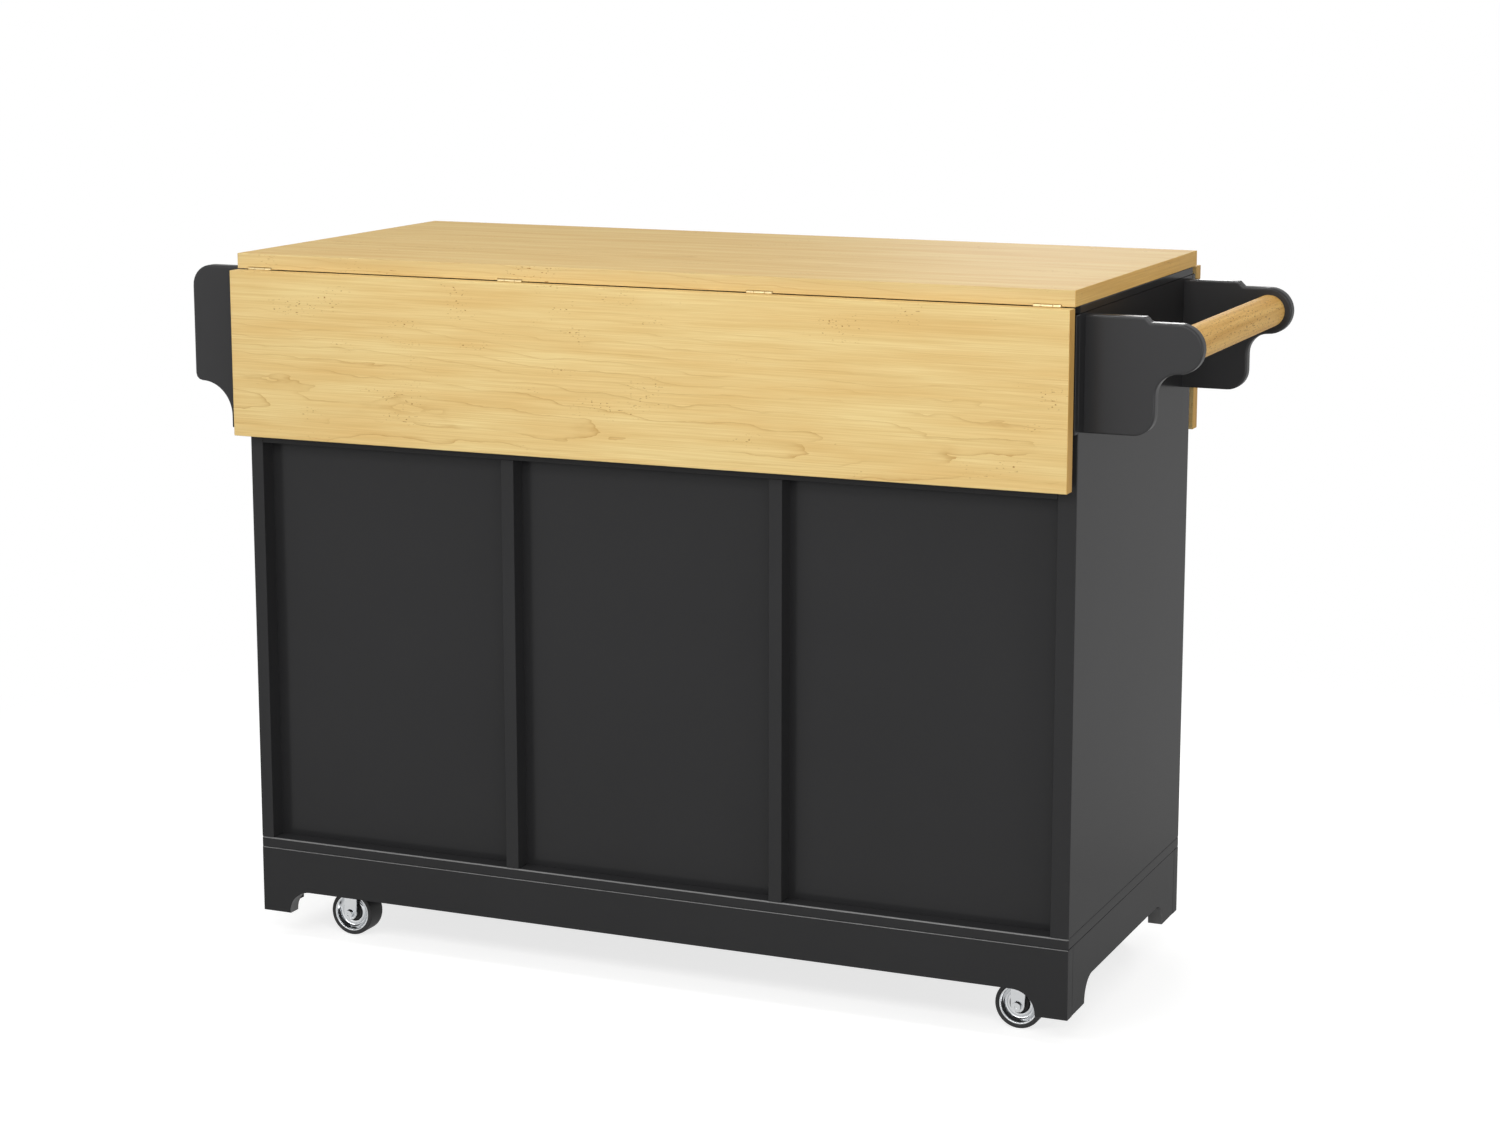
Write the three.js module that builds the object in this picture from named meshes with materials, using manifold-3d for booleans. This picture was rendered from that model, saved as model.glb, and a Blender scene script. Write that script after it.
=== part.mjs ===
// A drop leaf kitchen island on casters: a three-bay cabinet under a wooden worktop, with a hinged leaf
// along each long side, a towel rail at one end and a spice rack at the other.
// Millimetres, +Z up. The plain back faces -Y, and the doors and drawers face +Y. The towel rail is at +X.
// The origin is on the floor, under the centre of the island's outer box.

import * as THREE from 'three';
import { mergeVertices } from 'three/addons/utils/BufferGeometryUtils.js';
import Module from 'manifold-3d';

// ---------------------------------------------------------------- driving dimensions

// Cabinet
const cabinetWidth = 1145; // over the side panels
const cabinetDepth = 491; // over the long faces
const worktopHeight = 935; // floor to the top face
const worktopThickness = 20;
const worktopOverhang = 20; // past each long face
const subTopThickness = 10;
const leftPanelThickness = 18;
const rightPanelThickness = 24;
const dividerThickness = 18; // the two dividers leave three equal bays
const bottomBoardThickness = 14;
const apronThickness = 16;
const apronDrop = 223; // below the cabinet's top
const backPanelThickness = 5;
const backPanelRecess = 25; // behind the back face
const grooveDepth = 5; // of the back panels' grooves in the uprights
const restRailThickness = 13; // the rails that the hanging leaves lie in front of
const restRailHeight = 143;
const edgeEase = 1; // chamfer round a board's two faces

// Plinth
const plinthLift = 35.5; // floor to the plinth's feet
const plinthHeight = 89.5;
const plinthThickness = 20;
const plinthArchHeight = 31.5;
const plinthArchRadius = 30;
const longFootWidth = 42; // on the long faces
const endFootWidth = 71; // on the ends

// Drop leaves and their hinges
const leafWidth = 218; // hinge edge to free edge
const leafGap = 1; // between the worktop and the leaf, hanging or raised
const hingeEndInset = 34.5; // from the leaf's end to the middle of its outer hinge
const hingeInnerSpacing = 342; // between the middles of the two inner hinges
const hingeWidth = 34;
const hingeOuterKnuckle = 9.5; // length of each of the fixed half's two knuckles
const hingeBarrelRadius = 2.2;
const hingePinRadius = 1;
const hingePlateThickness = 2;
const hingePlateLength = 58; // under the worktop
const hingeFlapLength = 62; // down the leaf
const hingeRelief = 0.6; // clearance round a barrel

// Towel rack
const towelBracketInset = 22; // behind each long face
const towelBracketThickness = 18;
const towelBracketDrop = 2.5; // below the cabinet's top
const towelRootHeight = 142;
const towelRootReach = 86;
const towelFootRadius = 26;
const towelThroatRadius = 27;
const towelArmHeight = 60;
const towelRailReach = 113; // side panel to the rail's centre
const towelShoulderReach = 72;
const towelShoulderDrop = 6.5;
const towelRailRadius = 21;
const bracketRound = 3; // rounding of the bracket's edges

// Spice rack
const spiceEndInset = 22;
const spiceEndThickness = 18;
const spiceEndDrop = 2.5; // below the worktop's underside
const spiceEndHeight = 217;
const spiceReach = 98;
const spiceTopRadius = 28;
const spiceOuterHeight = 156; // height of the outer edge
const spiceOuterRadius = 10;
const spiceThroatRise = 16; // foot to the start of the throat
const spiceShelfThickness = 12;
const spiceShelfLift = 6; // above the foot of the outer edge
const spiceGuardHeight = 28;
const spiceGuardThickness = 12;
const spiceGuardLift = 42; // above the shelf

// Doors, drawers and shelves
const frontThickness = 16;
const frontGap = 2; // round each door and drawer front
const frameWidth = 50; // of the raised frame round each front
const framePanelDepth = 5; // from the frame's face to its panel
const doorHingeHeight = 64;
const doorHingeEnd = 70; // from the door's top or foot to its hinge
const doorHingeRadius = 3;
const doorHingePlate = 1.2;
const doorHingeWingDepth = 14; // along the door's edge, front to back
const knobRadius = 14;
const knobReach = 24;
const knobNeckRadius = 5.5;
const knobDrop = 90; // from the door's top
const drawerWall = 12;
const drawerBottom = 6;
const drawerBottomLift = 8;
const drawerBoxHeight = 180;
const drawerBoxLift = 22; // above the front's foot
const drawerRearGap = 25; // between the drawer and the back panel
const runnerSpace = 13; // between the bay's wall and the drawer's side
const runnerHeight = 36;
const runnerSetback = 20; // from the drawer's back to its runners' ends
const runnerSheet = 1.5;
const shelfThickness = 15;
const shelfLift = 371; // above the bottom board
const shelfFrontGap = 12; // behind the door
const pinRadius = 2.5;
const pinReach = 10; // out of the upright
const pinSetback = 45; // from the shelf's front and back edges

// Casters
const wheelRadius = 31;
const wheelWidth = 32;
const tyreShoulder = 4; // rounding at the tyre's sides
const hubRadius = 25.5;
const hubDish = 6.5; // depth of the hub's dish
const casterHeight = 84; // floor to the mounting face
const casterTrail = 16; // swivel axis to axle
const casterEndInset = 94; // swivel axis to the cabinet's end
const casterSideInset = 62; // swivel axis to the long face
const casterRailWidth = 76;
const axleRadius = 4;
const axleHeadRadius = 6.5;
const axleHeadHeight = 5;
const forkLegThickness = 2.5;
const forkLegTopWidth = 20; // of a leg, where it leaves the crown
const forkLegGap = 1.5; // beside the wheel
const forkEyeRadius = 9;
const forkCrownThickness = 3;
const forkCrownReach = 27; // swivel axis to the crown's leading edge
const casterPlateThickness = 2.5;
const casterPlateLength = 64;
const casterPlateWidth = 52;
const racewayRadius = 18;
const racewayHeight = 4;
const kingPinRadius = 4;

const seatGap = 0.3; // between pieces that are cut to fit each other
const runGap = 0.4; // between pieces that turn or slide on each other
const bite = 0.5; // how far fittings are let into the board that carries them

// ---------------------------------------------------------------- levels and lines that follow

const left = -cabinetWidth / 2;
const right = cabinetWidth / 2;
const back = -cabinetDepth / 2;
const front = cabinetDepth / 2;
const worktopUnderside = worktopHeight - worktopThickness;
const cabinetTop = worktopUnderside - subTopThickness;
const plinthTop = plinthLift + plinthHeight;
const floorTop = plinthTop + bottomBoardThickness;
const apronFoot = cabinetTop - apronDrop;
const worktopEdge = back - worktopOverhang;
const barrelRelief = hingeBarrelRadius + hingeRelief;
const towelReach = towelRailReach + towelArmHeight / 2;

// The three equal bays between the uprights, from the left end.
const bayStart = left + leftPanelThickness;
const bayWidth = (cabinetWidth - leftPanelThickness - rightPanelThickness - 2 * dividerThickness) / 3;
const bayPitch = bayWidth + dividerThickness;
const bays = {
  left: [bayStart, bayStart + bayWidth],
  middle: [bayStart + bayPitch, bayStart + bayPitch + bayWidth],
  right: [bayStart + 2 * bayPitch, right - rightPanelThickness],
};

const backPanelFace = back + backPanelRecess;
const backPanelInside = backPanelFace + backPanelThickness;
const frontInside = front - frontThickness;

// ---------------------------------------------------------------- materials

const paint = (name, color, roughness, metalness = 0) =>
  new THREE.MeshStandardMaterial({ name, color, roughness, metalness });

const blackLacquer = paint('black lacquer', 0x2b2b2c, 0.38);
const maple = paint('maple veneer', 0xe0c083, 0.42);
const beech = paint('beech dowel', 0xd9b26c, 0.5);
const innerBoard = paint('black inner board', 0x343435, 0.55);
const chrome = paint('chrome plate', 0xd8dadc, 0.12, 1);
const nickel = paint('brushed nickel', 0xb9b8b4, 0.3, 1);
const zincSteel = paint('zinc plated steel', 0xaeb1b3, 0.35, 1);
const rubber = paint('black rubber', 0x262626, 0.7);

// ---------------------------------------------------------------- solids

const wasm = await Module();
wasm.setup();

const island = new THREE.Group();

/** Turns a closed geometry into a solid that can be joined and cut. */
function toSolid(shape) {
  if (!shape.isBufferGeometry) return shape;
  const bare = shape.clone();
  bare.deleteAttribute('normal');
  bare.deleteAttribute('uv');
  const merged = mergeVertices(bare, 1e-4);
  return new wasm.Manifold(
    new wasm.Mesh({
      numProp: 3,
      vertProperties: new Float32Array(merged.attributes.position.array),
      triVerts: new Uint32Array(merged.index.array),
    }),
  );
}

/** Turns a solid back into a geometry. */
function toGeometry(shape) {
  if (shape.isBufferGeometry) return shape;
  const mesh = shape.getMesh();
  const geometry = new THREE.BufferGeometry();
  geometry.setAttribute('position', new THREE.BufferAttribute(mesh.vertProperties, 3));
  geometry.setIndex(new THREE.BufferAttribute(mesh.triVerts, 1));
  return geometry;
}

const join = (...shapes) => shapes.map(toSolid).reduce((sum, next) => sum.add(next));
const cut = (body, ...tools) => tools.map(toSolid).reduce((rest, tool) => rest.subtract(tool), toSolid(body));
const keep = (body, limit) => toSolid(body).intersect(toSolid(limit));

/** Adds a named mesh to a group, with its place in the mesh's position. */
function add(group, name, shape, material) {
  const geometry = toGeometry(shape);
  geometry.computeBoundingBox();
  const centre = geometry.boundingBox.getCenter(new THREE.Vector3());
  geometry.translate(-centre.x, -centre.y, -centre.z);
  geometry.computeVertexNormals();
  const mesh = new THREE.Mesh(geometry, material);
  mesh.name = name;
  mesh.position.copy(centre);
  group.add(mesh);
  return mesh;
}

/** A plain block between two limits on each axis. */
function block([x0, x1], [y0, y1], [z0, z1]) {
  const geometry = new THREE.BoxGeometry(x1 - x0, y1 - y0, z1 - z0);
  return geometry.translate((x0 + x1) / 2, (y0 + y1) / 2, (z0 + z1) / 2);
}

/** A board: a block whose two large faces have their edges eased by a small chamfer. */
function board(xs, ys, zs, ease = edgeEase) {
  const spans = [xs, ys, zs].map(([low, high]) => high - low);
  const centre = [xs, ys, zs].map(([low, high]) => (low + high) / 2);
  const thin = spans.indexOf(Math.min(...spans));
  const width = spans[thin === 0 ? 1 : 0];
  const height = spans[thin === 2 ? 1 : 2];
  const halfWidth = width / 2 - ease;
  const halfHeight = height / 2 - ease;
  const outline = new THREE.Shape([
    new THREE.Vector2(-halfWidth, -halfHeight),
    new THREE.Vector2(halfWidth, -halfHeight),
    new THREE.Vector2(halfWidth, halfHeight),
    new THREE.Vector2(-halfWidth, halfHeight),
  ]);
  const depth = spans[thin] - 2 * ease;
  const geometry = new THREE.ExtrudeGeometry(outline, {
    depth, bevelSize: ease, bevelThickness: ease, bevelSegments: 1,
  });
  geometry.translate(0, 0, -depth / 2);
  if (thin < 2) geometry.rotateX(Math.PI / 2);
  if (thin === 0) geometry.rotateZ(Math.PI / 2);
  return geometry.translate(...centre);
}

/** A cylinder along one axis, between two limits on that axis, about a centre on the other two. */
function rod(axis, radius, [low, high], [u, v], sides = 12) {
  const geometry = new THREE.CylinderGeometry(radius, radius, high - low, sides);
  const middle = (low + high) / 2;
  if (axis === 'x') return geometry.rotateZ(Math.PI / 2).translate(middle, u, v);
  if (axis === 'y') return geometry.translate(u, middle, v);
  return geometry.rotateX(Math.PI / 2).translate(u, v, middle);
}

/** A plate whose outline is drawn in X and Z, between two limits on Y. */
function plateAcrossY(outline, [y0, y1], round = 0, steps = 1) {
  const geometry = new THREE.ExtrudeGeometry(outline, {
    depth: y1 - y0 - 2 * round,
    bevelEnabled: round > 0,
    bevelSize: round,
    bevelThickness: round,
    bevelOffset: -round,
    bevelSegments: steps,
    curveSegments: 5,
  });
  return geometry.rotateX(Math.PI / 2).translate(0, y1 - round, 0);
}

/** A closed outline of straight lines. */
const outlineOf = (points) => new THREE.Shape(points.map(([x, y]) => new THREE.Vector2(x, y)));

// ---------------------------------------------------------------- cabinet

const between = (a, b) => [Math.min(a, b), Math.max(a, b)];

/** The slot in an upright's face that holds a back panel's edge. Outward points into the bay. */
function backPanelGroove(face, outward) {
  return block(
    between(face - outward * grooveDepth, face + outward),
    [backPanelFace - seatGap, backPanelInside + seatGap],
    [floorTop - 1, cabinetTop + 1],
  );
}

const shelfTop = floorTop + shelfLift;
const shelfFoot = shelfTop - shelfThickness;
const shelfDepth = [backPanelInside + seatGap, frontInside - shelfFrontGap];
const pinHeight = shelfFoot - seatGap - pinRadius;
const pinRows = [shelfDepth[0] + pinSetback, shelfDepth[1] - pinSetback];

/** The two pins that carry one end of a shelf, standing out of an upright's face. */
function shelfPins(face, outward) {
  const span = between(face - outward * bite, face + outward * pinReach);
  return pinRows.map((y) => rod('x', pinRadius, span, [y, pinHeight], 12));
}

const doorLevels = [floorTop + frontGap, apronFoot - frontGap];
const doorHingeAxisY = front + doorHingeRadius + seatGap;

/** The spans in height of a door's two hinges. */
function doorHingeHeights() {
  const [foot, top] = doorLevels;
  return [
    [foot + doorHingeEnd, foot + doorHingeEnd + doorHingeHeight],
    [top - doorHingeEnd - doorHingeHeight, top - doorHingeEnd],
  ];
}

/** One wing of a door hinge: a thin plate let into a board's edge, out to the barrel's axis. */
function doorHingeWing(face, inward, span) {
  const plate = between(face, face + inward * doorHingePlate);
  return block(plate, [front - doorHingeWingDepth, doorHingeAxisY], span);
}

/** The fixed halves of the hinges at a side panel's face, with their outer knuckles and pins. */
function doorHingeFixedHalves(face, outward) {
  const axis = [face + outward * frontGap / 2, doorHingeAxisY];
  return doorHingeHeights().flatMap(([low, high]) => {
    const third = (high - low) / 3;
    const ends = [[low, low + third], [high - third, high]];
    return [
      rod('z', hingePinRadius, [low, high], axis, 10),
      ...ends.map((span) => rod('z', doorHingeRadius, span, axis)),
      ...ends.map((span) => doorHingeWing(face, -outward, span)),
    ];
  });
}

/** The moving halves of the hinges at a door's edge: a middle knuckle each, bored for the pin. */
function doorHingeMovingHalves(edge, inward) {
  const axis = [edge - inward * frontGap / 2, doorHingeAxisY];
  return doorHingeHeights().map(([low, high]) => {
    const third = (high - low) / 3;
    const span = [low + third + runGap, high - third - runGap];
    const bore = rod('z', hingePinRadius + seatGap, [low, high], axis, 10);
    return cut(join(rod('z', doorHingeRadius, span, axis), doorHingeWing(edge, inward, span)), bore);
  });
}

const drawerBoxLength = frontInside - backPanelInside - drawerRearGap;
const runnerLength = drawerBoxLength - runnerSetback;
const runnerLevel = (foot) => foot + drawerBoxLift + drawerBoxHeight / 2;

/** The C-shaped fixed member of a drawer runner on a divider's face. Outward points into the bay. */
function fixedRunner(face, outward, foot) {
  const half = runnerHeight / 2;
  const lip = runnerSpace - runGap;
  const outline = outlineOf([
    [-bite, -half], [lip, -half], [lip, -half + runnerSheet], [runnerSheet, -half + runnerSheet],
    [runnerSheet, half - runnerSheet], [lip, half - runnerSheet], [lip, half], [-bite, half],
  ]);
  const member = plateAcrossY(outline, [-runnerLength / 2, runnerLength / 2]);
  if (outward < 0) member.rotateZ(Math.PI);
  return member.translate(face, frontInside - seatGap - runnerLength / 2, runnerLevel(foot));
}

const drawerMiddle = (doorLevels[0] + doorLevels[1]) / 2;
const drawerLevels = {
  lower: [doorLevels[0], drawerMiddle - frontGap / 2],
  upper: [drawerMiddle + frontGap / 2, doorLevels[1]],
};

/** The fixed runners of both drawers on one divider's face. */
const fixedRunners = (face, outward) =>
  Object.values(drawerLevels).map(([foot]) => fixedRunner(face, outward, foot));

function buildUprights() {
  const upright = (xs, ...cuts) => cut(board(xs, [back, front], [floorTop, cabinetTop]), ...cuts);
  const apronNotches = (xs) => [[back - 1, back + apronThickness], [frontInside, front + 1]].map(
    (ys) => block([xs[0] - 1, xs[1] + 1], ys, [apronFoot, cabinetTop + 1]),
  );
  const leftDivider = [bays.left[1], bays.middle[0]];
  const rightDivider = [bays.middle[1], bays.right[0]];
  const [panelFaceLeft, panelFaceRight] = [bays.left[0], bays.right[1]];
  add(island, 'side_panel_left', join(
    upright([left, panelFaceLeft], backPanelGroove(panelFaceLeft, 1)),
    ...shelfPins(panelFaceLeft, 1),
    ...doorHingeFixedHalves(panelFaceLeft, 1),
  ), blackLacquer);
  add(island, 'side_panel_right', join(
    upright([panelFaceRight, right], backPanelGroove(panelFaceRight, -1)),
    ...shelfPins(panelFaceRight, -1),
    ...doorHingeFixedHalves(panelFaceRight, -1),
  ), blackLacquer);
  add(island, 'divider_left', join(
    upright(
      leftDivider, ...apronNotches(leftDivider),
      backPanelGroove(leftDivider[0], -1), backPanelGroove(leftDivider[1], 1),
    ),
    ...shelfPins(leftDivider[0], -1),
    ...fixedRunners(leftDivider[1], 1),
  ), blackLacquer);
  add(island, 'divider_right', join(
    upright(
      rightDivider, ...apronNotches(rightDivider),
      backPanelGroove(rightDivider[0], -1), backPanelGroove(rightDivider[1], 1),
    ),
    ...shelfPins(rightDivider[1], 1),
    ...fixedRunners(rightDivider[0], -1),
  ), blackLacquer);
}

/** An apron under the cabinet's top, with the rail on its face that the hanging leaf lies before. */
function apronWithRestRail(face, outward) {
  const apronYs = between(face, face - outward * apronThickness);
  const railYs = between(face, face + outward * restRailThickness);
  const railFoot = cabinetTop - restRailHeight;
  const glued = block(
    [bays.left[0] + edgeEase, bays.right[1] - edgeEase],
    [face - bite, face + bite],
    [railFoot + edgeEase, cabinetTop - edgeEase],
  );
  return join(
    board([bays.left[0], bays.right[1]], apronYs, [apronFoot, cabinetTop]),
    glued,
    board([left, right], railYs, [railFoot, cabinetTop]),
  );
}

function buildCabinet() {
  add(island, 'bottom_board', board([left, right], [back, front], [plinthTop, floorTop]), blackLacquer);
  buildUprights();
  for (const [name, [x0, x1]] of Object.entries(bays)) {
    const tongue = grooveDepth - seatGap;
    const ys = [backPanelFace, backPanelInside];
    const panel = board([x0 - tongue, x1 + tongue], ys, [floorTop, cabinetTop], edgeEase / 2);
    add(island, `back_panel_${name}`, panel, blackLacquer);
  }
  add(island, 'apron_back', apronWithRestRail(back, -1), blackLacquer);
  add(island, 'apron_front', apronWithRestRail(front, 1), blackLacquer);
  for (const name of ['left', 'right']) {
    const [x0, x1] = bays[name];
    const shelf = board([x0 + seatGap, x1 - seatGap], shelfDepth, [shelfFoot, shelfTop]);
    add(island, `shelf_${name}`, shelf, innerBoard);
  }
}

// ---------------------------------------------------------------- plinth

/** One plinth board's outline: a board of the given length, arched between its two feet. */
function plinthOutline(length, footWidth) {
  const half = length / 2;
  const inner = half - footWidth;
  const crown = plinthLift + plinthArchHeight;
  const radius = Math.min(plinthArchRadius, plinthArchHeight);
  const outline = new THREE.Shape();
  outline.moveTo(-half, plinthLift);
  outline.lineTo(-inner, plinthLift);
  outline.lineTo(-inner, crown - radius);
  outline.absarc(-inner + radius, crown - radius, radius, Math.PI, Math.PI / 2, true);
  outline.absarc(inner - radius, crown - radius, radius, Math.PI / 2, 0, true);
  outline.lineTo(inner, plinthLift);
  outline.lineTo(half, plinthLift);
  outline.lineTo(half, plinthTop);
  outline.lineTo(-half, plinthTop);
  return outline;
}

function buildPlinth() {
  const longBoard = plinthOutline(cabinetWidth, longFootWidth);
  const endLength = cabinetDepth - 2 * plinthThickness;
  const endBoard = plinthOutline(endLength, endFootWidth - plinthThickness);
  const long = (ys) => plateAcrossY(longBoard, ys, edgeEase);
  const end = () => plateAcrossY(endBoard, [0, plinthThickness], edgeEase).rotateZ(-Math.PI / 2);
  add(island, 'plinth_back', long([back, back + plinthThickness]), blackLacquer);
  add(island, 'plinth_front', long([front - plinthThickness, front]), blackLacquer);
  add(island, 'plinth_left', end().translate(left, 0, 0), blackLacquer);
  add(island, 'plinth_right', end().translate(right - plinthThickness, 0, 0), blackLacquer);
}

// ---------------------------------------------------------------- worktop and leaves

const hingeCentres = [
  left + hingeEndInset, -hingeInnerSpacing / 2, hingeInnerSpacing / 2, right - hingeEndInset,
];

/** The reliefs that one long edge of the worktop, or a leaf, has for the hinge barrels. */
function barrelReliefs(y, z) {
  const half = hingeWidth / 2 + hingeRelief;
  return hingeCentres.map((x) => rod('x', barrelRelief, [x - half, x + half], [y, z]));
}

function buildWorktop() {
  const top = board([left, right], [worktopEdge, -worktopEdge], [worktopUnderside, worktopHeight]);
  const reliefs = [worktopEdge, -worktopEdge].flatMap((y) => barrelReliefs(y, worktopUnderside));
  add(island, 'worktop', cut(top, ...reliefs), maple);

  const half = hingeWidth / 2 + seatGap;
  const plateEnd = worktopEdge + barrelRelief + hingePlateLength + seatGap;
  const notches = hingeCentres.flatMap((x) => [[back - 1, plateEnd], [-plateEnd, front + 1]].map(
    (ys) => block([x - half, x + half], ys, [cabinetTop - 1, worktopUnderside + 1]),
  ));
  const subTop = board([left, right], [back, front], [cabinetTop, worktopUnderside]);
  add(island, 'sub_top', cut(subTop, ...notches), blackLacquer);
}

/** The hinge's fixed half about an X axis at the origin: its plate lies towards +Y, under the worktop. */
function hingeFixedHalf() {
  const half = hingeWidth / 2;
  const plate = block(
    [-half, half], [barrelRelief, barrelRelief + hingePlateLength], [-hingePlateThickness, 0],
  );
  const knuckles = [[-half, hingeOuterKnuckle - half], [half - hingeOuterKnuckle, half]].flatMap((xs) => [
    rod('x', hingeBarrelRadius, xs, [0, 0]),
    block(xs, [0, barrelRelief + 1], [-hingePlateThickness, -hingePlateThickness / 2]),
  ]);
  return join(plate, ...knuckles, rod('x', hingePinRadius, [-half, half], [0, 0], 10));
}

/** The hinge's moving half: its flap hangs towards -Z, let into the leaf's inner face at y = 0. */
function hingeMovingHalf(x) {
  const half = hingeWidth / 2;
  const middle = half - hingeOuterKnuckle - runGap;
  const flapTop = -barrelRelief - hingeRelief;
  const flapZs = [flapTop - hingeFlapLength, flapTop];
  const flap = block([x - half, x + half], [-bite, hingePlateThickness], flapZs);
  const knuckle = join(
    rod('x', hingeBarrelRadius, [x - middle, x + middle], [0, 0]),
    block([x - middle, x + middle], [hingePlateThickness / 2, hingePlateThickness], [flapTop - 1, 0]),
  );
  const bore = rod('x', hingePinRadius + seatGap, [x - half, x + half], [0, 0], 10);
  return join(flap, cut(knuckle, bore));
}

/** One leaf, hanging below the worktop's edge, with its hinges. */
function buildLeaf(name, turn) {
  const side = new THREE.Group();
  side.rotation.z = turn;
  island.add(side);
  const axis = new THREE.Group();
  axis.position.set(0, worktopEdge, worktopUnderside);
  side.add(axis);
  const leaf = board([left, right], [-worktopThickness, 0], [-leafGap - leafWidth, -leafGap]);
  const flaps = hingeCentres.map(hingeMovingHalf);
  add(axis, `leaf_${name}`, join(cut(leaf, ...barrelReliefs(0, 0)), ...flaps), maple);
  hingeCentres.forEach((x, index) => {
    const hinge = new THREE.Group();
    hinge.position.x = x;
    axis.add(hinge);
    add(hinge, `leaf_${name}_hinge_${index + 1}`, hingeFixedHalf(), zincSteel);
  });
}

// ---------------------------------------------------------------- towel rack and spice rack

/** The towel bracket's outline, drawn in X from the side panel and in Z. */
function towelBracketOutline() {
  const top = cabinetTop - towelBracketDrop;
  const foot = top - towelRootHeight;
  const armTop = top - towelShoulderDrop;
  const tip = armTop - towelArmHeight / 2;
  const armFoot = armTop - towelArmHeight;
  const start = -2 * bracketRound;
  const outline = new THREE.Shape();
  outline.moveTo(start, foot);
  outline.lineTo(towelRootReach - towelFootRadius, foot);
  outline.absarc(towelRootReach - towelFootRadius, foot + towelFootRadius, towelFootRadius, -Math.PI / 2, 0);
  outline.lineTo(towelRootReach, armFoot - towelThroatRadius);
  const throat = [towelRootReach + towelThroatRadius, armFoot - towelThroatRadius];
  outline.absarc(...throat, towelThroatRadius, Math.PI, Math.PI / 2, true);
  outline.absarc(towelRailReach, tip, towelArmHeight / 2, -Math.PI / 2, Math.PI / 2);
  outline.lineTo(towelShoulderReach + towelShoulderDrop, armTop);
  outline.lineTo(towelShoulderReach, top);
  outline.lineTo(start, top);
  return outline;
}

function buildTowelRack() {
  const rack = new THREE.Group();
  rack.position.x = right;
  island.add(rack);
  const outline = towelBracketOutline();
  const outside = block([0, 2 * towelReach], [back, front], [0, worktopHeight]);
  const bracket = (ys) => keep(plateAcrossY(outline, ys, bracketRound, 2), outside);
  const inner = front - towelBracketInset - towelBracketThickness;
  const outer = front - towelBracketInset;
  add(rack, 'towel_bracket_back', bracket([-outer, -inner]), blackLacquer);
  add(rack, 'towel_bracket_front', bracket([inner, outer]), blackLacquer);
  const height = cabinetTop - towelBracketDrop - towelShoulderDrop - towelArmHeight / 2;
  add(rack, 'towel_rail', rod('y', towelRailRadius, [-inner, inner], [towelRailReach, height], 32), beech);
}

/** The spice rack end's outline, drawn in X outwards from the side panel and in Z. */
function spiceEndOutline() {
  const top = worktopUnderside - spiceEndDrop;
  const foot = top - spiceEndHeight;
  const outerFoot = top - spiceOuterHeight;
  const throatRadius = outerFoot - foot - spiceThroatRise;
  const throat = spiceReach - spiceOuterRadius - throatRadius;
  const start = -2 * bracketRound;
  const outline = new THREE.Shape();
  outline.moveTo(start, foot);
  outline.lineTo(throat, foot);
  const throatCentre = [throat + throatRadius, outerFoot - throatRadius];
  outline.absarc(...throatCentre, throatRadius, Math.PI, Math.PI / 2, true);
  const outerCentre = [spiceReach - spiceOuterRadius, outerFoot + spiceOuterRadius];
  outline.absarc(...outerCentre, spiceOuterRadius, -Math.PI / 2, 0);
  outline.absarc(spiceReach - spiceTopRadius, top - spiceTopRadius, spiceTopRadius, 0, Math.PI / 2);
  outline.lineTo(start, top);
  return outline;
}

function buildSpiceRack() {
  const rack = new THREE.Group();
  rack.position.x = left;
  rack.rotation.z = Math.PI;
  island.add(rack);
  const outline = spiceEndOutline();
  const outside = block([0, 2 * spiceReach], [back, front], [0, worktopHeight]);
  const end = (ys) => keep(plateAcrossY(outline, ys, bracketRound, 2), outside);
  const inner = front - spiceEndInset - spiceEndThickness;
  const outer = front - spiceEndInset;
  add(rack, 'spice_rack_end_back', end([inner, outer]), blackLacquer);
  add(rack, 'spice_rack_end_front', end([-outer, -inner]), blackLacquer);
  const shelfFace = worktopUnderside - spiceEndDrop - spiceOuterHeight + spiceShelfLift + spiceShelfThickness;
  const guardFoot = shelfFace + spiceGuardLift;
  const outerEdge = spiceReach - bracketRound;
  add(rack, 'spice_rack_shelf', board(
    [0, outerEdge], [-inner, inner], [shelfFace - spiceShelfThickness, shelfFace],
  ), blackLacquer);
  add(rack, 'spice_rack_guard_rail', board(
    [outerEdge - spiceGuardThickness, outerEdge], [-inner, inner], [guardFoot, guardFoot + spiceGuardHeight],
  ), blackLacquer);
}

// ---------------------------------------------------------------- doors and drawers

/** A turned knob that stands on a front's face, along +Y. */
function knob(x, z) {
  const half = knobReach / 2;
  const profile = [
    [0, 0], [knobNeckRadius + 2, 0], [knobNeckRadius, 3], [knobNeckRadius, half],
    [knobRadius, half + 5], [knobRadius, knobReach - 4], [knobRadius - 4, knobReach], [0, knobReach],
  ].map(([radius, y]) => new THREE.Vector2(radius, y));
  return new THREE.LatheGeometry(profile, 16).translate(x, front, z);
}

/** A front of one board, with its middle sunk to leave a raised frame. */
function framedFront([x0, x1], [z0, z1]) {
  const sunk = block(
    [x0 + frameWidth, x1 - frameWidth],
    [front - framePanelDepth, front + 1],
    [z0 + frameWidth, z1 - frameWidth],
  );
  return cut(board([x0, x1], [frontInside, front], [z0, z1]), sunk);
}

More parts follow.
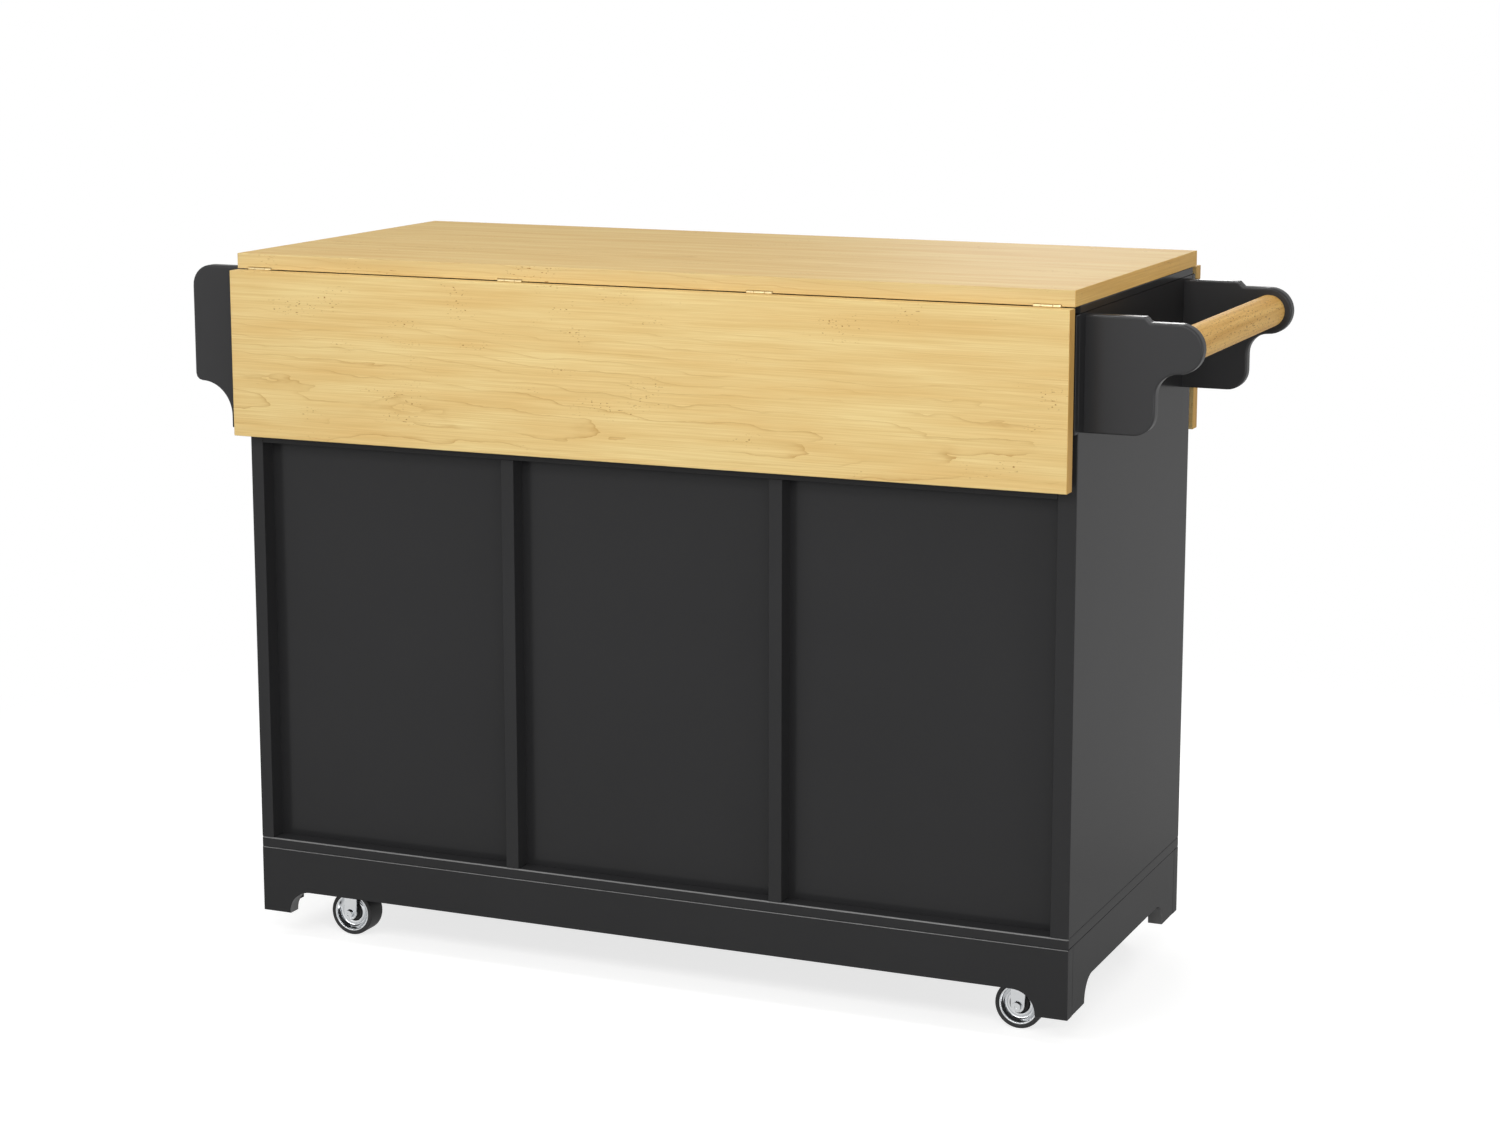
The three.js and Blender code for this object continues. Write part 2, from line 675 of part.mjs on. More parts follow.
/** One door, hung on the side panel's face, with its knob by the free edge. Inward points from the hinges. */
function buildDoor(name, hingeFace, freeFace, inward) {
  const edge = hingeFace + inward * frontGap;
  const freeEdge = freeFace - inward * frontGap;
  const panel = framedFront(between(edge, freeEdge), doorLevels);
  add(island, `door_${name}`, join(panel, ...doorHingeMovingHalves(edge, inward)), blackLacquer);
  const knobPlace = [freeEdge - inward * frameWidth / 2, doorLevels[1] - knobDrop];
  add(island, `door_${name}_knob`, knob(...knobPlace), nickel);
}

/** One drawer in the middle bay: its front, its knob, and its box with the runners' moving members. */
function buildDrawer(name, [foot, top]) {
  const [x0, x1] = bays.middle;
  const panel = framedFront([x0 + frontGap, x1 - frontGap], [foot, top]);
  add(island, `drawer_${name}_front`, panel, blackLacquer);
  add(island, `drawer_${name}_knob`, knob((x0 + x1) / 2, top - frameWidth / 2), nickel);

  const xs = [x0 + runnerSpace, x1 - runnerSpace];
  const ys = [frontInside - drawerBoxLength, frontInside];
  const zs = [foot + drawerBoxLift, foot + drawerBoxLift + drawerBoxHeight];
  const innerX = [xs[0] + drawerWall, xs[1] - drawerWall];
  const innerY = [ys[0] + drawerWall, ys[1] - drawerWall];
  const panelFoot = zs[0] + drawerBottomLift;
  const box = cut(
    block(xs, ys, zs),
    block(innerX, innerY, [panelFoot + drawerBottom, zs[1] + 1]),
    block(innerX, innerY, [zs[0] - 1, panelFoot]),
  );
  const level = runnerLevel(foot);
  const half = runnerHeight / 2 - runnerSheet - runGap;
  const clear = runnerSheet + runGap;
  const members = [[x0 + clear, xs[0] + bite], [xs[1] - bite, x1 - clear]].map(
    (span) => block(span, [frontInside - runnerLength, frontInside], [level - half, level + half]),
  );
  add(island, `drawer_${name}_box`, join(box, ...members), innerBoard);
}

function buildFronts() {
  buildDoor('left', bays.left[0], bays.left[1], 1);
  buildDoor('right', bays.right[1], bays.right[0], -1);
  buildDrawer('lower', drawerLevels.lower);
  buildDrawer('upper', drawerLevels.upper);
}

// ---------------------------------------------------------------- casters

const plateFoot = casterHeight - casterPlateThickness;
const racewayFoot = plateFoot - racewayHeight;
const crownTop = racewayFoot - runGap;
const crownFoot = crownTop - forkCrownThickness;
const legInside = wheelWidth / 2 + forkLegGap;
const legOutside = legInside + forkLegThickness;

/** The fixed part of a caster: its plate, its raceway and the king pin that carries the fork. */
function casterPlate() {
  const plate = board(
    [-casterPlateLength / 2, casterPlateLength / 2],
    [-casterPlateWidth / 2, casterPlateWidth / 2],
    [plateFoot, casterHeight + bite],
    edgeEase / 2,
  );
  const headTop = crownFoot - runGap;
  return join(
    plate,
    rod('z', racewayRadius, [racewayFoot, plateFoot], [0, 0], 20),
    rod('z', kingPinRadius, [headTop - 1, racewayFoot], [0, 0]),
    rod('z', kingPinRadius + 3, [headTop - 2, headTop], [0, 0]),
  );
}

/** The fork: a crown plate, two legs that trail to the axle, and the axle with its heads. */
function casterFork() {
  const leg = new THREE.Shape();
  leg.moveTo(forkCrownReach - forkLegTopWidth, crownTop);
  leg.lineTo(casterTrail - forkEyeRadius, wheelRadius);
  leg.absarc(casterTrail, wheelRadius, forkEyeRadius, Math.PI, 2 * Math.PI);
  leg.lineTo(forkCrownReach, crownTop);
  const crown = new THREE.Shape();
  crown.absarc(0, 0, legOutside, Math.PI / 2, 1.5 * Math.PI);
  crown.lineTo(forkCrownReach, -legOutside);
  crown.lineTo(forkCrownReach, legOutside);
  const crownPlate = new THREE.ExtrudeGeometry(crown, {
    depth: forkCrownThickness, bevelEnabled: false, curveSegments: 8,
  }).translate(0, 0, crownFoot);
  const ends = legOutside + axleHeadHeight;
  const axle = [casterTrail, wheelRadius];
  return cut(
    join(
      crownPlate,
      plateAcrossY(leg, [legInside, legOutside]),
      plateAcrossY(leg, [-legOutside, -legInside]),
      rod('y', axleRadius, [1 - ends, ends - 1], axle),
      rod('y', axleHeadRadius, [-ends, bite - legOutside], axle),
      rod('y', axleHeadRadius, [legOutside - bite, ends], axle),
    ),
    rod('z', kingPinRadius + runGap, [crownFoot - 1, crownTop + 1], [0, 0]),
  );
}

/** Revolves half a ring's profile, [radius, y] points from bore to rim, and its mirror about the axle. */
function turned(half) {
  const mirrored = half.map(([radius, y]) => [radius, -y]);
  const points = [...mirrored, ...half.reverse(), mirrored[0]];
  return new THREE.LatheGeometry(points.map(([radius, y]) => new THREE.Vector2(radius, y)), 24);
}

/** The dished hub, with a bore for the axle. */
function wheelHub() {
  const bore = axleRadius + seatGap;
  const face = wheelWidth / 2 - 0.5;
  const dish = face - hubDish;
  const half = [
    [bore, face], [bore + 3.5, face], [bore + 4.5, dish], [hubRadius - 5, dish], [hubRadius, face],
  ];
  return turned(half);
}

/** The tyre, a ring with rounded shoulders. */
function wheelTyre() {
  const face = wheelWidth / 2;
  const inner = hubRadius + seatGap;
  const centre = [wheelRadius - tyreShoulder, face - tyreShoulder];
  const half = [[inner, face]];
  for (const turn of [0, Math.PI / 4, Math.PI / 2]) {
    half.push([centre[0] + tyreShoulder * Math.sin(turn), centre[1] + tyreShoulder * Math.cos(turn)]);
  }
  return turned(half);
}

/** One caster's turning pieces, about its swivel axis. */
function buildCaster(name, x, y) {
  const swivel = new THREE.Group();
  swivel.position.set(x, y, 0);
  island.add(swivel);
  add(swivel, `${name}_fork`, casterFork(), chrome);
  const wheel = new THREE.Group();
  wheel.position.set(casterTrail, 0, wheelRadius);
  swivel.add(wheel);
  add(wheel, `${name}_hub`, wheelHub(), chrome);
  add(wheel, `${name}_tyre`, wheelTyre(), rubber);
}

function buildCasters() {
  const ends = { left: left + casterEndInset, right: right - casterEndInset };
  const sides = { back: back + casterSideInset, front: front - casterSideInset };
  for (const [endName, x] of Object.entries(ends)) {
    const rail = board(
      [x - casterRailWidth / 2, x + casterRailWidth / 2],
      [back + plinthThickness, front - plinthThickness],
      [casterHeight, plinthTop],
    );
    const plates = Object.values(sides).map((y) => casterPlate().translate([x, y, 0]));
    add(island, `caster_rail_${endName}`, join(rail, ...plates), innerBoard);
    for (const [sideName, y] of Object.entries(sides)) buildCaster(`caster_${sideName}_${endName}`, x, y);
  }
}

// ---------------------------------------------------------------- the island

buildCabinet();
buildPlinth();
buildWorktop();
buildLeaf('back', 0);
buildLeaf('front', Math.PI);
buildTowelRack();
buildSpiceRack();
buildFronts();
buildCasters();

// The racks reach out unequally, so the cabinet stands off the centre of the outer box.
island.position.x = -(towelReach - spiceReach) / 2;

export default island;
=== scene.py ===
"""Looks of a drop leaf kitchen island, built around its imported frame.

Shapes are modelled in millimetres in the frame's own axes: +Z is up, the plain back faces -Y, the doors
face +Y and the towel rail is at +X. add_piece() turns each one into an object in metres.
"""

import logging
import math
from dataclasses import dataclass
from enum import Enum

import bmesh
import bpy
from mathutils import Matrix, Vector


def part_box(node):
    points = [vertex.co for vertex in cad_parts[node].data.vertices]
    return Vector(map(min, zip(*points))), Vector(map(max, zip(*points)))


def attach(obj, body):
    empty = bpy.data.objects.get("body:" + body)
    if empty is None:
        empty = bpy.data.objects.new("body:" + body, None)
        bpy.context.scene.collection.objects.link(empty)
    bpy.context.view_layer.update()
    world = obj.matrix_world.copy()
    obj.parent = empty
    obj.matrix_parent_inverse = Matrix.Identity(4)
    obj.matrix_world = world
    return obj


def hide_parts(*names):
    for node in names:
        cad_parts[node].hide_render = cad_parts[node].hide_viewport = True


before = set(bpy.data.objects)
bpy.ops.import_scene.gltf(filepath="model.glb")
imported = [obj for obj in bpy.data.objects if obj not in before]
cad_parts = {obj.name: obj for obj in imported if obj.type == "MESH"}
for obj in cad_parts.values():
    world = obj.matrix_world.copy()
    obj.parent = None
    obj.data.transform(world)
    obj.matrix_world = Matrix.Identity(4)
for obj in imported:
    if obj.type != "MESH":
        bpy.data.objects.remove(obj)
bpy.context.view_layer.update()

MM = 0.001
ROOT = "root"
WELD = 1e-4  # points closer than this are one
EASE = 0.02  # by which two roundings that meet stay apart
PAST = 1.0  # how far a cutter runs past what it cuts
SHARP = math.radians(50)  # an edge that turns further than this stays sharp
QUARTER = math.pi / 2
log = logging.getLogger("island")

Corner = tuple[float, float, float]
Span = tuple[float, float]


# ---------------------------------------------------------------- helpers for materials


def linear(hex_colour: str) -> tuple[float, float, float, float]:
    """Turns an sRGB hex colour into linear light.

    Args:
        hex_colour: The colour as "#RRGGBB".

    Returns:
        Red, green, blue and alpha.
    """
    channels = [int(hex_colour[i : i + 2], 16) / 255 for i in (1, 3, 5)]
    red, green, blue = [c / 12.92 if c <= 0.04045 else ((c + 0.055) / 1.055) ** 2.4 for c in channels]
    return red, green, blue, 1.0


def wire(tree: bpy.types.NodeTree, node: bpy.types.Node, inputs: dict) -> None:
    """Sets or links a node's inputs.

    Args:
        tree: The node tree that holds the node.
        node: The node.
        inputs: For each input's name or index, its value or the output that feeds it.
    """
    for key, value in inputs.items():
        if isinstance(value, bpy.types.NodeSocket):
            tree.links.new(value, node.inputs[key])
        else:
            node.inputs[key].default_value = value


def add_node(
    tree: bpy.types.NodeTree, kind: str, inputs: dict | None = None, out: str | int = 0, **settings
) -> bpy.types.NodeSocket:
    """Adds a node with its settings and links.

    Args:
        tree: The node tree to add to.
        kind: The node's type, without the "ShaderNode" that it starts with.
        inputs: For each input's name or index, its value or the output that feeds it.
        out: The name or index of the output that is wanted.
        settings: The node's own properties.

    Returns:
        That output.
    """
    node = tree.nodes.new(f"ShaderNode{kind}")
    for key, value in settings.items():
        setattr(node, key, value)
    wire(tree, node, inputs or {})
    return node.outputs[out]


# ---------------------------------------------------------------- finishes


class Axis(Enum):
    """An axis of the frame."""

    X = (1.0, 0.0, 0.0)
    Y = (0.0, 1.0, 0.0)
    Z = (0.0, 0.0, 1.0)

    def stretch(self, along: float, across: float) -> Corner:
        """Returns a scale for coordinates: one value along this axis and another across it."""
        x, y, z = (along if part else across for part in self.value)
        return x, y, z


@dataclass(frozen=True)
class Streaks:
    """A mottle drawn out along the grain of a wood, its size in millimetres."""

    length: float
    width: float
    detail: float
    span: Span | None = None  # the part of its range that is spread over 0 to 1
    harshness: float = 0.55

    def add_to(
        self, tree: bpy.types.NodeTree, place: bpy.types.NodeSocket, grain: Axis
    ) -> bpy.types.NodeSocket:
        """Adds the mottle to a material.

        Args:
            tree: The material's node tree.
            place: The coordinates that it is laid on.
            grain: The axis that it runs along.

        Returns:
            An output from 0 to 1.
        """
        drawn = add_node(tree, "VectorMath", {
            0: place, 1: grain.stretch(1 / (self.length * MM), 1 / (self.width * MM)),
        }, operation="MULTIPLY")
        mottle = add_node(tree, "TexNoise", {
            "Vector": drawn, "Scale": 1.0, "Detail": self.detail, "Roughness": self.harshness,
        })
        if self.span is None:
            return mottle
        return add_node(tree, "MapRange", {
            "Value": mottle, "From Min": self.span[0], "From Max": self.span[1],
        })


@dataclass(frozen=True)
class Finish:
    """What a surface is made of. Each kind has a material's name and the record's slot."""

    name: str
    slot: str | None

    def material(self) -> bpy.types.Material:
        """Gives the finish's material, which is made the first time it is asked for.

        Returns:
            The material.
        """
        found = bpy.data.materials.get(self.name)
        if found is None:
            found = bpy.data.materials.new(self.name)
            found.use_nodes = True
            self.dress(found.node_tree, found.node_tree.nodes["Principled BSDF"])
        return found

    def dress(self, tree: bpy.types.NodeTree, shader: bpy.types.Node) -> None:
        """Gives the shader its values and patterns.

        Args:
            tree: The material's node tree.
            shader: Its Principled BSDF.
        """
        raise NotImplementedError


@dataclass(frozen=True)
class BlackLacquer(Finish):
    """Black lacquer sprayed on fibreboard: a deep black with a thin satin gleam.

    The pigmented coats are dull. The clear coat over them carries the whole reflection, so a board is black
    face on and shines at a flat angle, rippled by a faint orange peel.
    """

    name: str = "black lacquer sprayed satin"
    slot: str | None = "black_lacquer"
    deep: str = "#2C2C2D"
    pale: str = "#313132"
    roughness: Span = (0.62, 0.78)  # of the pigmented coats
    clear_coat: float = 0.31
    clear_roughness: float = 0.19
    cloud: float = 260.0  # width of the slow change of tone over a board
    cloud_span: Span = (0.3, 0.7)
    peel: float = 4.0  # real dimples are 1 mm wide, drawn coarser so that they show
    peel_depth: float = 0.012
    peel_strength: float = 0.35

    def dress(self, tree: bpy.types.NodeTree, shader: bpy.types.Node) -> None:
        """Gives the shader its values and patterns.

        Args:
            tree: The material's node tree.
            shader: Its Principled BSDF.
        """
        place = add_node(tree, "TexCoord", out="Object")
        cloud = add_node(tree, "TexNoise", {
            "Vector": place, "Scale": 1 / (self.cloud * MM), "Detail": 3.0, "Roughness": 0.5,
        })
        tone = add_node(tree, "Mix", {
            0: cloud, 6: linear(self.deep), 7: linear(self.pale),
        }, out=2, data_type="RGBA")
        gloss = add_node(tree, "MapRange", {
            "Value": cloud, "From Min": self.cloud_span[0], "From Max": self.cloud_span[1],
            "To Min": self.roughness[0], "To Max": self.roughness[1],
        })
        dimples = add_node(tree, "TexNoise", {"Vector": place, "Scale": 1 / (self.peel * MM), "Detail": 1.0})
        bump = add_node(tree, "Bump", {
            "Height": dimples, "Strength": self.peel_strength, "Distance": self.peel_depth * MM,
        })
        wire(tree, shader, {
            "Base Color": tone, "Roughness": gloss, "Specular IOR Level": 0.0, "Normal": bump,
            "Coat Weight": self.clear_coat, "Coat Roughness": self.clear_roughness, "Coat Normal": bump,
        })


@dataclass(frozen=True)
class MapleVeneer(Finish):
    """Maple veneer, sliced and clear lacquered: pale honey, with soft growth lines that arch over the pith.

    The growth lines are rings about a line along the grain, which tapers and wanders, so that a flat cut
    shows nested arches near it and straight lines away from it. Fine fibres run through all of it, and
    small dark flecks lie in loose clusters.
    """

    name: str = "maple veneer clear lacquered"
    slot: str | None = "maple"
    grain: Axis = Axis.X
    pith: Corner = (0.0, 0.0, 0.0)  # a point of the rings' centre line, in millimetres
    light: str = "#EACF8E"
    middle: str = "#DFBA77"
    dark: str = "#C99F5B"
    line: str = "#B98A48"
    fleck: str = "#A06E34"
    ring: float = 10.0  # between two growth lines
    line_sharpness: float = 15.0  # power that leaves a thin line of the ramp across a ring
    line_share: float = 0.75
    taper: float = 0.03
    wander: Span = (46.0, 11.0)  # how far the growth lines stray, slowly and in short waves
    slow_waves: Streaks = Streaks(420.0, 90.0, 4.0)
    short_waves: Streaks = Streaks(130.0, 34.0, 4.0)
    breaks: Streaks = Streaks(220.0, 26.0, 2.0, (0.34, 0.54))  # where the growth lines are lost for a while
    spread: Span = (60.0, 150.0)  # distances from the pith where they start to fade and are faint
    faintest: float = 0.18  # what is left of them there
    bands: Streaks = Streaks(260.0, 22.0, 4.0, (0.34, 0.66))  # from light to middle
    fibres: Streaks = Streaks(150.0, 1.4, 3.0, (0.34, 0.68))  # really 0.1 mm wide, drawn so that they show
    fibre_share: float = 0.44
    fibre_depth: float = 0.05
    fibre_strength: float = 0.12
    clusters: Streaks = Streaks(90.0, 34.0, 1.0, (0.59, 0.71))
    dashes: Streaks = Streaks(4.2, 1.3, 0.0, (0.73, 0.77))  # the flecks in a cluster
    roughness: float = 0.62
    specular: float = 0.15

    def dress(self, tree: bpy.types.NodeTree, shader: bpy.types.Node) -> None:
        """Gives the shader its values and patterns.

        Args:
            tree: The material's node tree.
            shader: Its Principled BSDF.
        """
        centred = add_node(tree, "Mapping", {
            "Vector": add_node(tree, "TexCoord", out="Object"),
            "Location": tuple(-value * MM for value in self.pith),
        })
        across = add_node(tree, "VectorMath", {
            0: centred, 1: self.grain.stretch(0.0, 1.0),
        }, operation="MULTIPLY")
        radius = add_node(tree, "VectorMath", {0: across}, out="Value", operation="LENGTH")
        along = add_node(tree, "VectorMath", {
            0: centred, 1: self.grain.value,
        }, out="Value", operation="DOT_PRODUCT")

        strayed = add_node(tree, "Math", {0: along, 1: self.taper, 2: radius}, operation="MULTIPLY_ADD")
        for waves, reach in zip((self.slow_waves, self.short_waves), self.wander):
            strayed = add_node(tree, "Math", {
                0: waves.add_to(tree, centred, self.grain), 1: reach * MM, 2: strayed,
            }, operation="MULTIPLY_ADD")
        turns = add_node(tree, "Math", {0: strayed, 1: 1 / (self.ring * MM)}, operation="MULTIPLY")
        ramp = add_node(tree, "Math", {0: turns}, operation="FRACT")
        growth = add_node(tree, "Math", {0: ramp, 1: self.line_sharpness}, operation="POWER")
        nearness = add_node(tree, "MapRange", {
            "Value": radius, "From Min": self.spread[0] * MM, "From Max": self.spread[1] * MM,
            "To Min": 1.0, "To Max": self.faintest,
        })
        breaks, bands, fibres, clusters, dashes = (
            streaks.add_to(tree, centred, self.grain)
            for streaks in (self.breaks, self.bands, self.fibres, self.clusters, self.dashes)
        )
        for share in (breaks, nearness, self.line_share):
            growth = add_node(tree, "Math", {0: growth, 1: share}, operation="MULTIPLY")
        threads = add_node(tree, "Math", {0: fibres, 1: self.fibre_share}, operation="MULTIPLY")
        flecks = add_node(tree, "Math", {0: clusters, 1: dashes}, operation="MULTIPLY")

        colour = linear(self.light)
        layers = (bands, self.middle), (growth, self.line), (threads, self.dark), (flecks, self.fleck)
        for share, shade in layers:
            colour = add_node(tree, "Mix", {
                0: share, 6: colour, 7: linear(shade),
            }, out=2, data_type="RGBA")
        bump = add_node(tree, "Bump", {
            "Height": fibres, "Strength": self.fibre_strength, "Distance": self.fibre_depth * MM,
        })
        wire(tree, shader, {
            "Base Color": colour, "Roughness": self.roughness, "Specular IOR Level": self.specular,
            "Normal": bump,
        })


@dataclass(frozen=True)
class BeechDowel(Finish):
    """Beech, turned and sanded: warm tan with short dark flecks along the grain, barely glossy."""

    name: str = "beech dowel sanded"
    slot: str | None = "beech"
    grain: Axis = Axis.Y
    light: str = "#EBBF70"
    dark: str = "#D8A656"
    fleck: str = "#A06C30"
    streaks: Streaks = Streaks(240.0, 5.0, 3.0, (0.32, 0.68), 0.5)
    # The flecks are the wood's rays, really 0.5 mm wide and drawn so that they show. The dents lie in them.
    rays: Streaks = Streaks(7.0, 1.4, 0.0, (0.60, 0.85), 0.5)
    dents: Streaks = Streaks(7.0, 1.4, 0.0, None, 0.5)
    dent_depth: float = 0.05
    dent_strength: float = 0.15
    roughness: float = 0.6
    specular: float = 0.2

    def dress(self, tree: bpy.types.NodeTree, shader: bpy.types.Node) -> None:
        """Gives the shader its values and patterns.

        Args:
            tree: The material's node tree.
            shader: Its Principled BSDF.
        """
        place = add_node(tree, "TexCoord", out="Object")
        colour = linear(self.light)
        for mottle, shade in ((self.streaks, self.dark), (self.rays, self.fleck)):
            colour = add_node(tree, "Mix", {
                0: mottle.add_to(tree, place, self.grain), 6: colour, 7: linear(shade),
            }, out=2, data_type="RGBA")
        bump = add_node(tree, "Bump", {
            "Height": self.dents.add_to(tree, place, self.grain),
            "Strength": self.dent_strength, "Distance": self.dent_depth * MM,
        })
        wire(tree, shader, {
            "Base Color": colour, "Roughness": self.roughness, "Specular IOR Level": self.specular,
            "Normal": bump,
        })


@dataclass(frozen=True)
class MelamineBoard(Finish):
    """Black melamine on chipboard, pressed: a flat black with a fine pearled texture."""

    name: str = "black melamine pressed"
    slot: str | None = "inner_board"
    colour: str = "#202021"
    pearl: float = 1.5  # width of one grain of the pressed texture
    pearl_depth: float = 0.04
    pearl_strength: float = 0.3
    roughness: Span = (0.48, 0.6)

    def dress(self, tree: bpy.types.NodeTree, shader: bpy.types.Node) -> None:
        """Gives the shader its values and patterns.

        Args:
            tree: The material's node tree.
            shader: Its Principled BSDF.
        """
        place = add_node(tree, "TexCoord", out="Object")
        grains = add_node(tree, "TexNoise", {"Vector": place, "Scale": 1 / (self.pearl * MM), "Detail": 2.0})
        gloss = add_node(tree, "MapRange", {
            "Value": grains, "To Min": self.roughness[0], "To Max": self.roughness[1],
        })
        bump = add_node(tree, "Bump", {
            "Height": grains, "Strength": self.pearl_strength, "Distance": self.pearl_depth * MM,
        })
        wire(tree, shader, {"Base Color": linear(self.colour), "Roughness": gloss, "Normal": bump})


@dataclass(frozen=True)
class Plated(Finish):
    """Plated steel: a metal whose gloss varies a little where it was polished, brushed or passivated."""

    colour: str
    roughness: Span
    patch: float  # width of one patch of changed gloss
    scratch: Corner = (1.0, 1.0, 1.0)  # how the patches are drawn out on each axis
    patch_span: Span = (0.3, 0.7)

    def dress(self, tree: bpy.types.NodeTree, shader: bpy.types.Node) -> None:
        """Gives the shader its values and patterns.

        Args:
            tree: The material's node tree.
            shader: Its Principled BSDF.
        """
        place = add_node(tree, "TexCoord", out="Object")
        drawn = add_node(tree, "VectorMath", {0: place, 1: self.scratch}, operation="DIVIDE")
        patches = add_node(tree, "TexNoise", {"Vector": drawn, "Scale": 1 / (self.patch * MM), "Detail": 3.0})
        gloss = add_node(tree, "MapRange", {
            "Value": patches, "From Min": self.patch_span[0], "From Max": self.patch_span[1],
            "To Min": self.roughness[0], "To Max": self.roughness[1],
        })
        wire(tree, shader, {
            "Base Color": linear(self.colour), "Metallic": 1.0, "Roughness": gloss,
        })


@dataclass(frozen=True)
class BlackRubber(Finish):
    """Black rubber, moulded: matt and slightly greyed where it rolls."""

    name: str = "black rubber moulded"
    slot: str | None = "rubber"
    deep: str = "#1C1C1D"
    dusty: str = "#2E2E2F"
    dust: float = 9.0  # width of a dusty patch
    dust_depth: float = 0.1
    dust_strength: float = 0.2
    roughness: float = 0.55

    def dress(self, tree: bpy.types.NodeTree, shader: bpy.types.Node) -> None:
        """Gives the shader its values and patterns.

        Args:
            tree: The material's node tree.
            shader: Its Principled BSDF.
        """
        place = add_node(tree, "TexCoord", out="Object")
        dust = add_node(tree, "TexNoise", {"Vector": place, "Scale": 1 / (self.dust * MM), "Detail": 4.0})
        colour = add_node(tree, "Mix", {
            0: dust, 6: linear(self.deep), 7: linear(self.dusty),
        }, out=2, data_type="RGBA")
        bump = add_node(tree, "Bump", {
            "Height": dust, "Strength": self.dust_strength, "Distance": self.dust_depth * MM,
        })
        wire(tree, shader, {"Base Color": colour, "Roughness": self.roughness, "Normal": bump})


@dataclass(frozen=True)
class PaleFloor(Finish):
    """A pale studio floor that takes the object's shadow and runs out into the white background.

    Its own colour is a mid grey, so that it throws little light up at the object. The glow that lifts it to
    white is there only for the rays that show the background.
    """

    name: str = "white studio floor"
    slot: str | None = None
    colour: str = "#B4B4B3"
    lift: float = 0.76  # glow that the camera sees
    gleam: float = 0.46  # glow in gloss and through glass
    fade: Span = (0.8, 1.9)  # where it starts to melt into the background, and where it has, in metres
    roughness: float = 0.9
    specular: float = 0.1

    def dress(self, tree: bpy.types.NodeTree, shader: bpy.types.Node) -> None:
        """Gives the shader its values and patterns.

        Args:
            tree: The material's node tree.
            shader: Its Principled BSDF.
        """
        wire(tree, shader, {
            "Base Color": linear(self.colour), "Roughness": self.roughness,
            "Specular IOR Level": self.specular,
        })
        place = add_node(tree, "TexCoord", out="Object")
        distance = add_node(tree, "VectorMath", {0: place}, out="Value", operation="LENGTH")
        far = add_node(tree, "MapRange", {
            "Value": distance, "From Min": self.fade[0], "From Max": self.fade[1],
        }, interpolation_type="SMOOTHSTEP")
        seen = seen_rays(tree)
        glow = add_node(tree, "Math", {
            0: add_node(tree, "LightPath", out="Is Camera Ray"), 1: self.lift - self.gleam,
            2: add_node(tree, "Math", {0: seen, 1: self.gleam}, operation="MULTIPLY"),
        }, operation="MULTIPLY_ADD")
        lifted = add_node(tree, "AddShader", {
            0: shader.outputs["BSDF"], 1: add_node(tree, "Emission", {"Strength": glow}),
        })
        melted = add_node(tree, "MixShader", {
            0: add_node(tree, "Math", {0: seen, 1: far}, operation="MULTIPLY"),
            1: lifted, 2: add_node(tree, "Emission", {"Strength": 1.0}),
        })
        wire(tree, tree.nodes["Material Output"], {"Surface": melted})


def seen_rays(tree: bpy.types.NodeTree) -> bpy.types.NodeSocket:
    """Tells the rays that show the background: from the camera, or through gloss or glass.

    Args:
        tree: The node tree to add to.

    Returns:
        An output that is 1 for such a ray and 0 for the others.
    """
    camera, glossy, through = (
        add_node(tree, "LightPath", out=f"Is {kind} Ray") for kind in ("Camera", "Glossy", "Transmission")
    )
    shiny = add_node(tree, "Math", {0: glossy, 1: through}, operation="MAXIMUM")
    return add_node(tree, "Math", {0: camera, 1: shiny}, operation="MAXIMUM")


LACQUER = BlackLacquer()
# A pale copy of the lacquer that paints light in: a painted highlight on the upward arrises, and a painted
# reflection of the floor on the sides of the plinth's arches.
PAINTED_LIGHT_LACQUER = BlackLacquer("black lacquer rubbed thin on an arris", deep="#6C6C6C", pale="#8A8A8A")
# The racks' boards get a copy of the lacquer a shade greyer: painted light, for the brighter light that falls
# on these upper parts.
LIT_RACK_LACQUER = BlackLacquer("black lacquer painted lighter as lit on a rack", deep="#383839", pale="#3D3D3E")
BEECH = BeechDowel()
MELAMINE = MelamineBoard()
RUBBER = BlackRubber()
# Mirror bright, with the softest of smears.
CHROME = Plated("chrome plate polished", "chrome", "#DCDEE0", (0.05, 0.11), 14.0)
# Warm grey, with brush marks that draw its highlights out. They are really 0.05 mm wide, drawn to show.
NICKEL = Plated("nickel plate brushed", "nickel", "#B9B7B2", (0.24, 0.36), 1.2, (1.0, 9.0, 1.0))
# Dull silver, in patches of a slightly different gloss.
ZINC = Plated("zinc plated steel clear passivated", "zinc_steel", "#C2C4C6", (0.34, 0.46), 6.0)
# The same with a pale straw cast, as the leaf hinges have.
YELLOW_ZINC = Plated("zinc plated steel yellow passivated", "zinc_steel", "#CDBB90", (0.34, 0.46), 6.0)


# ---------------------------------------------------------------- shapes


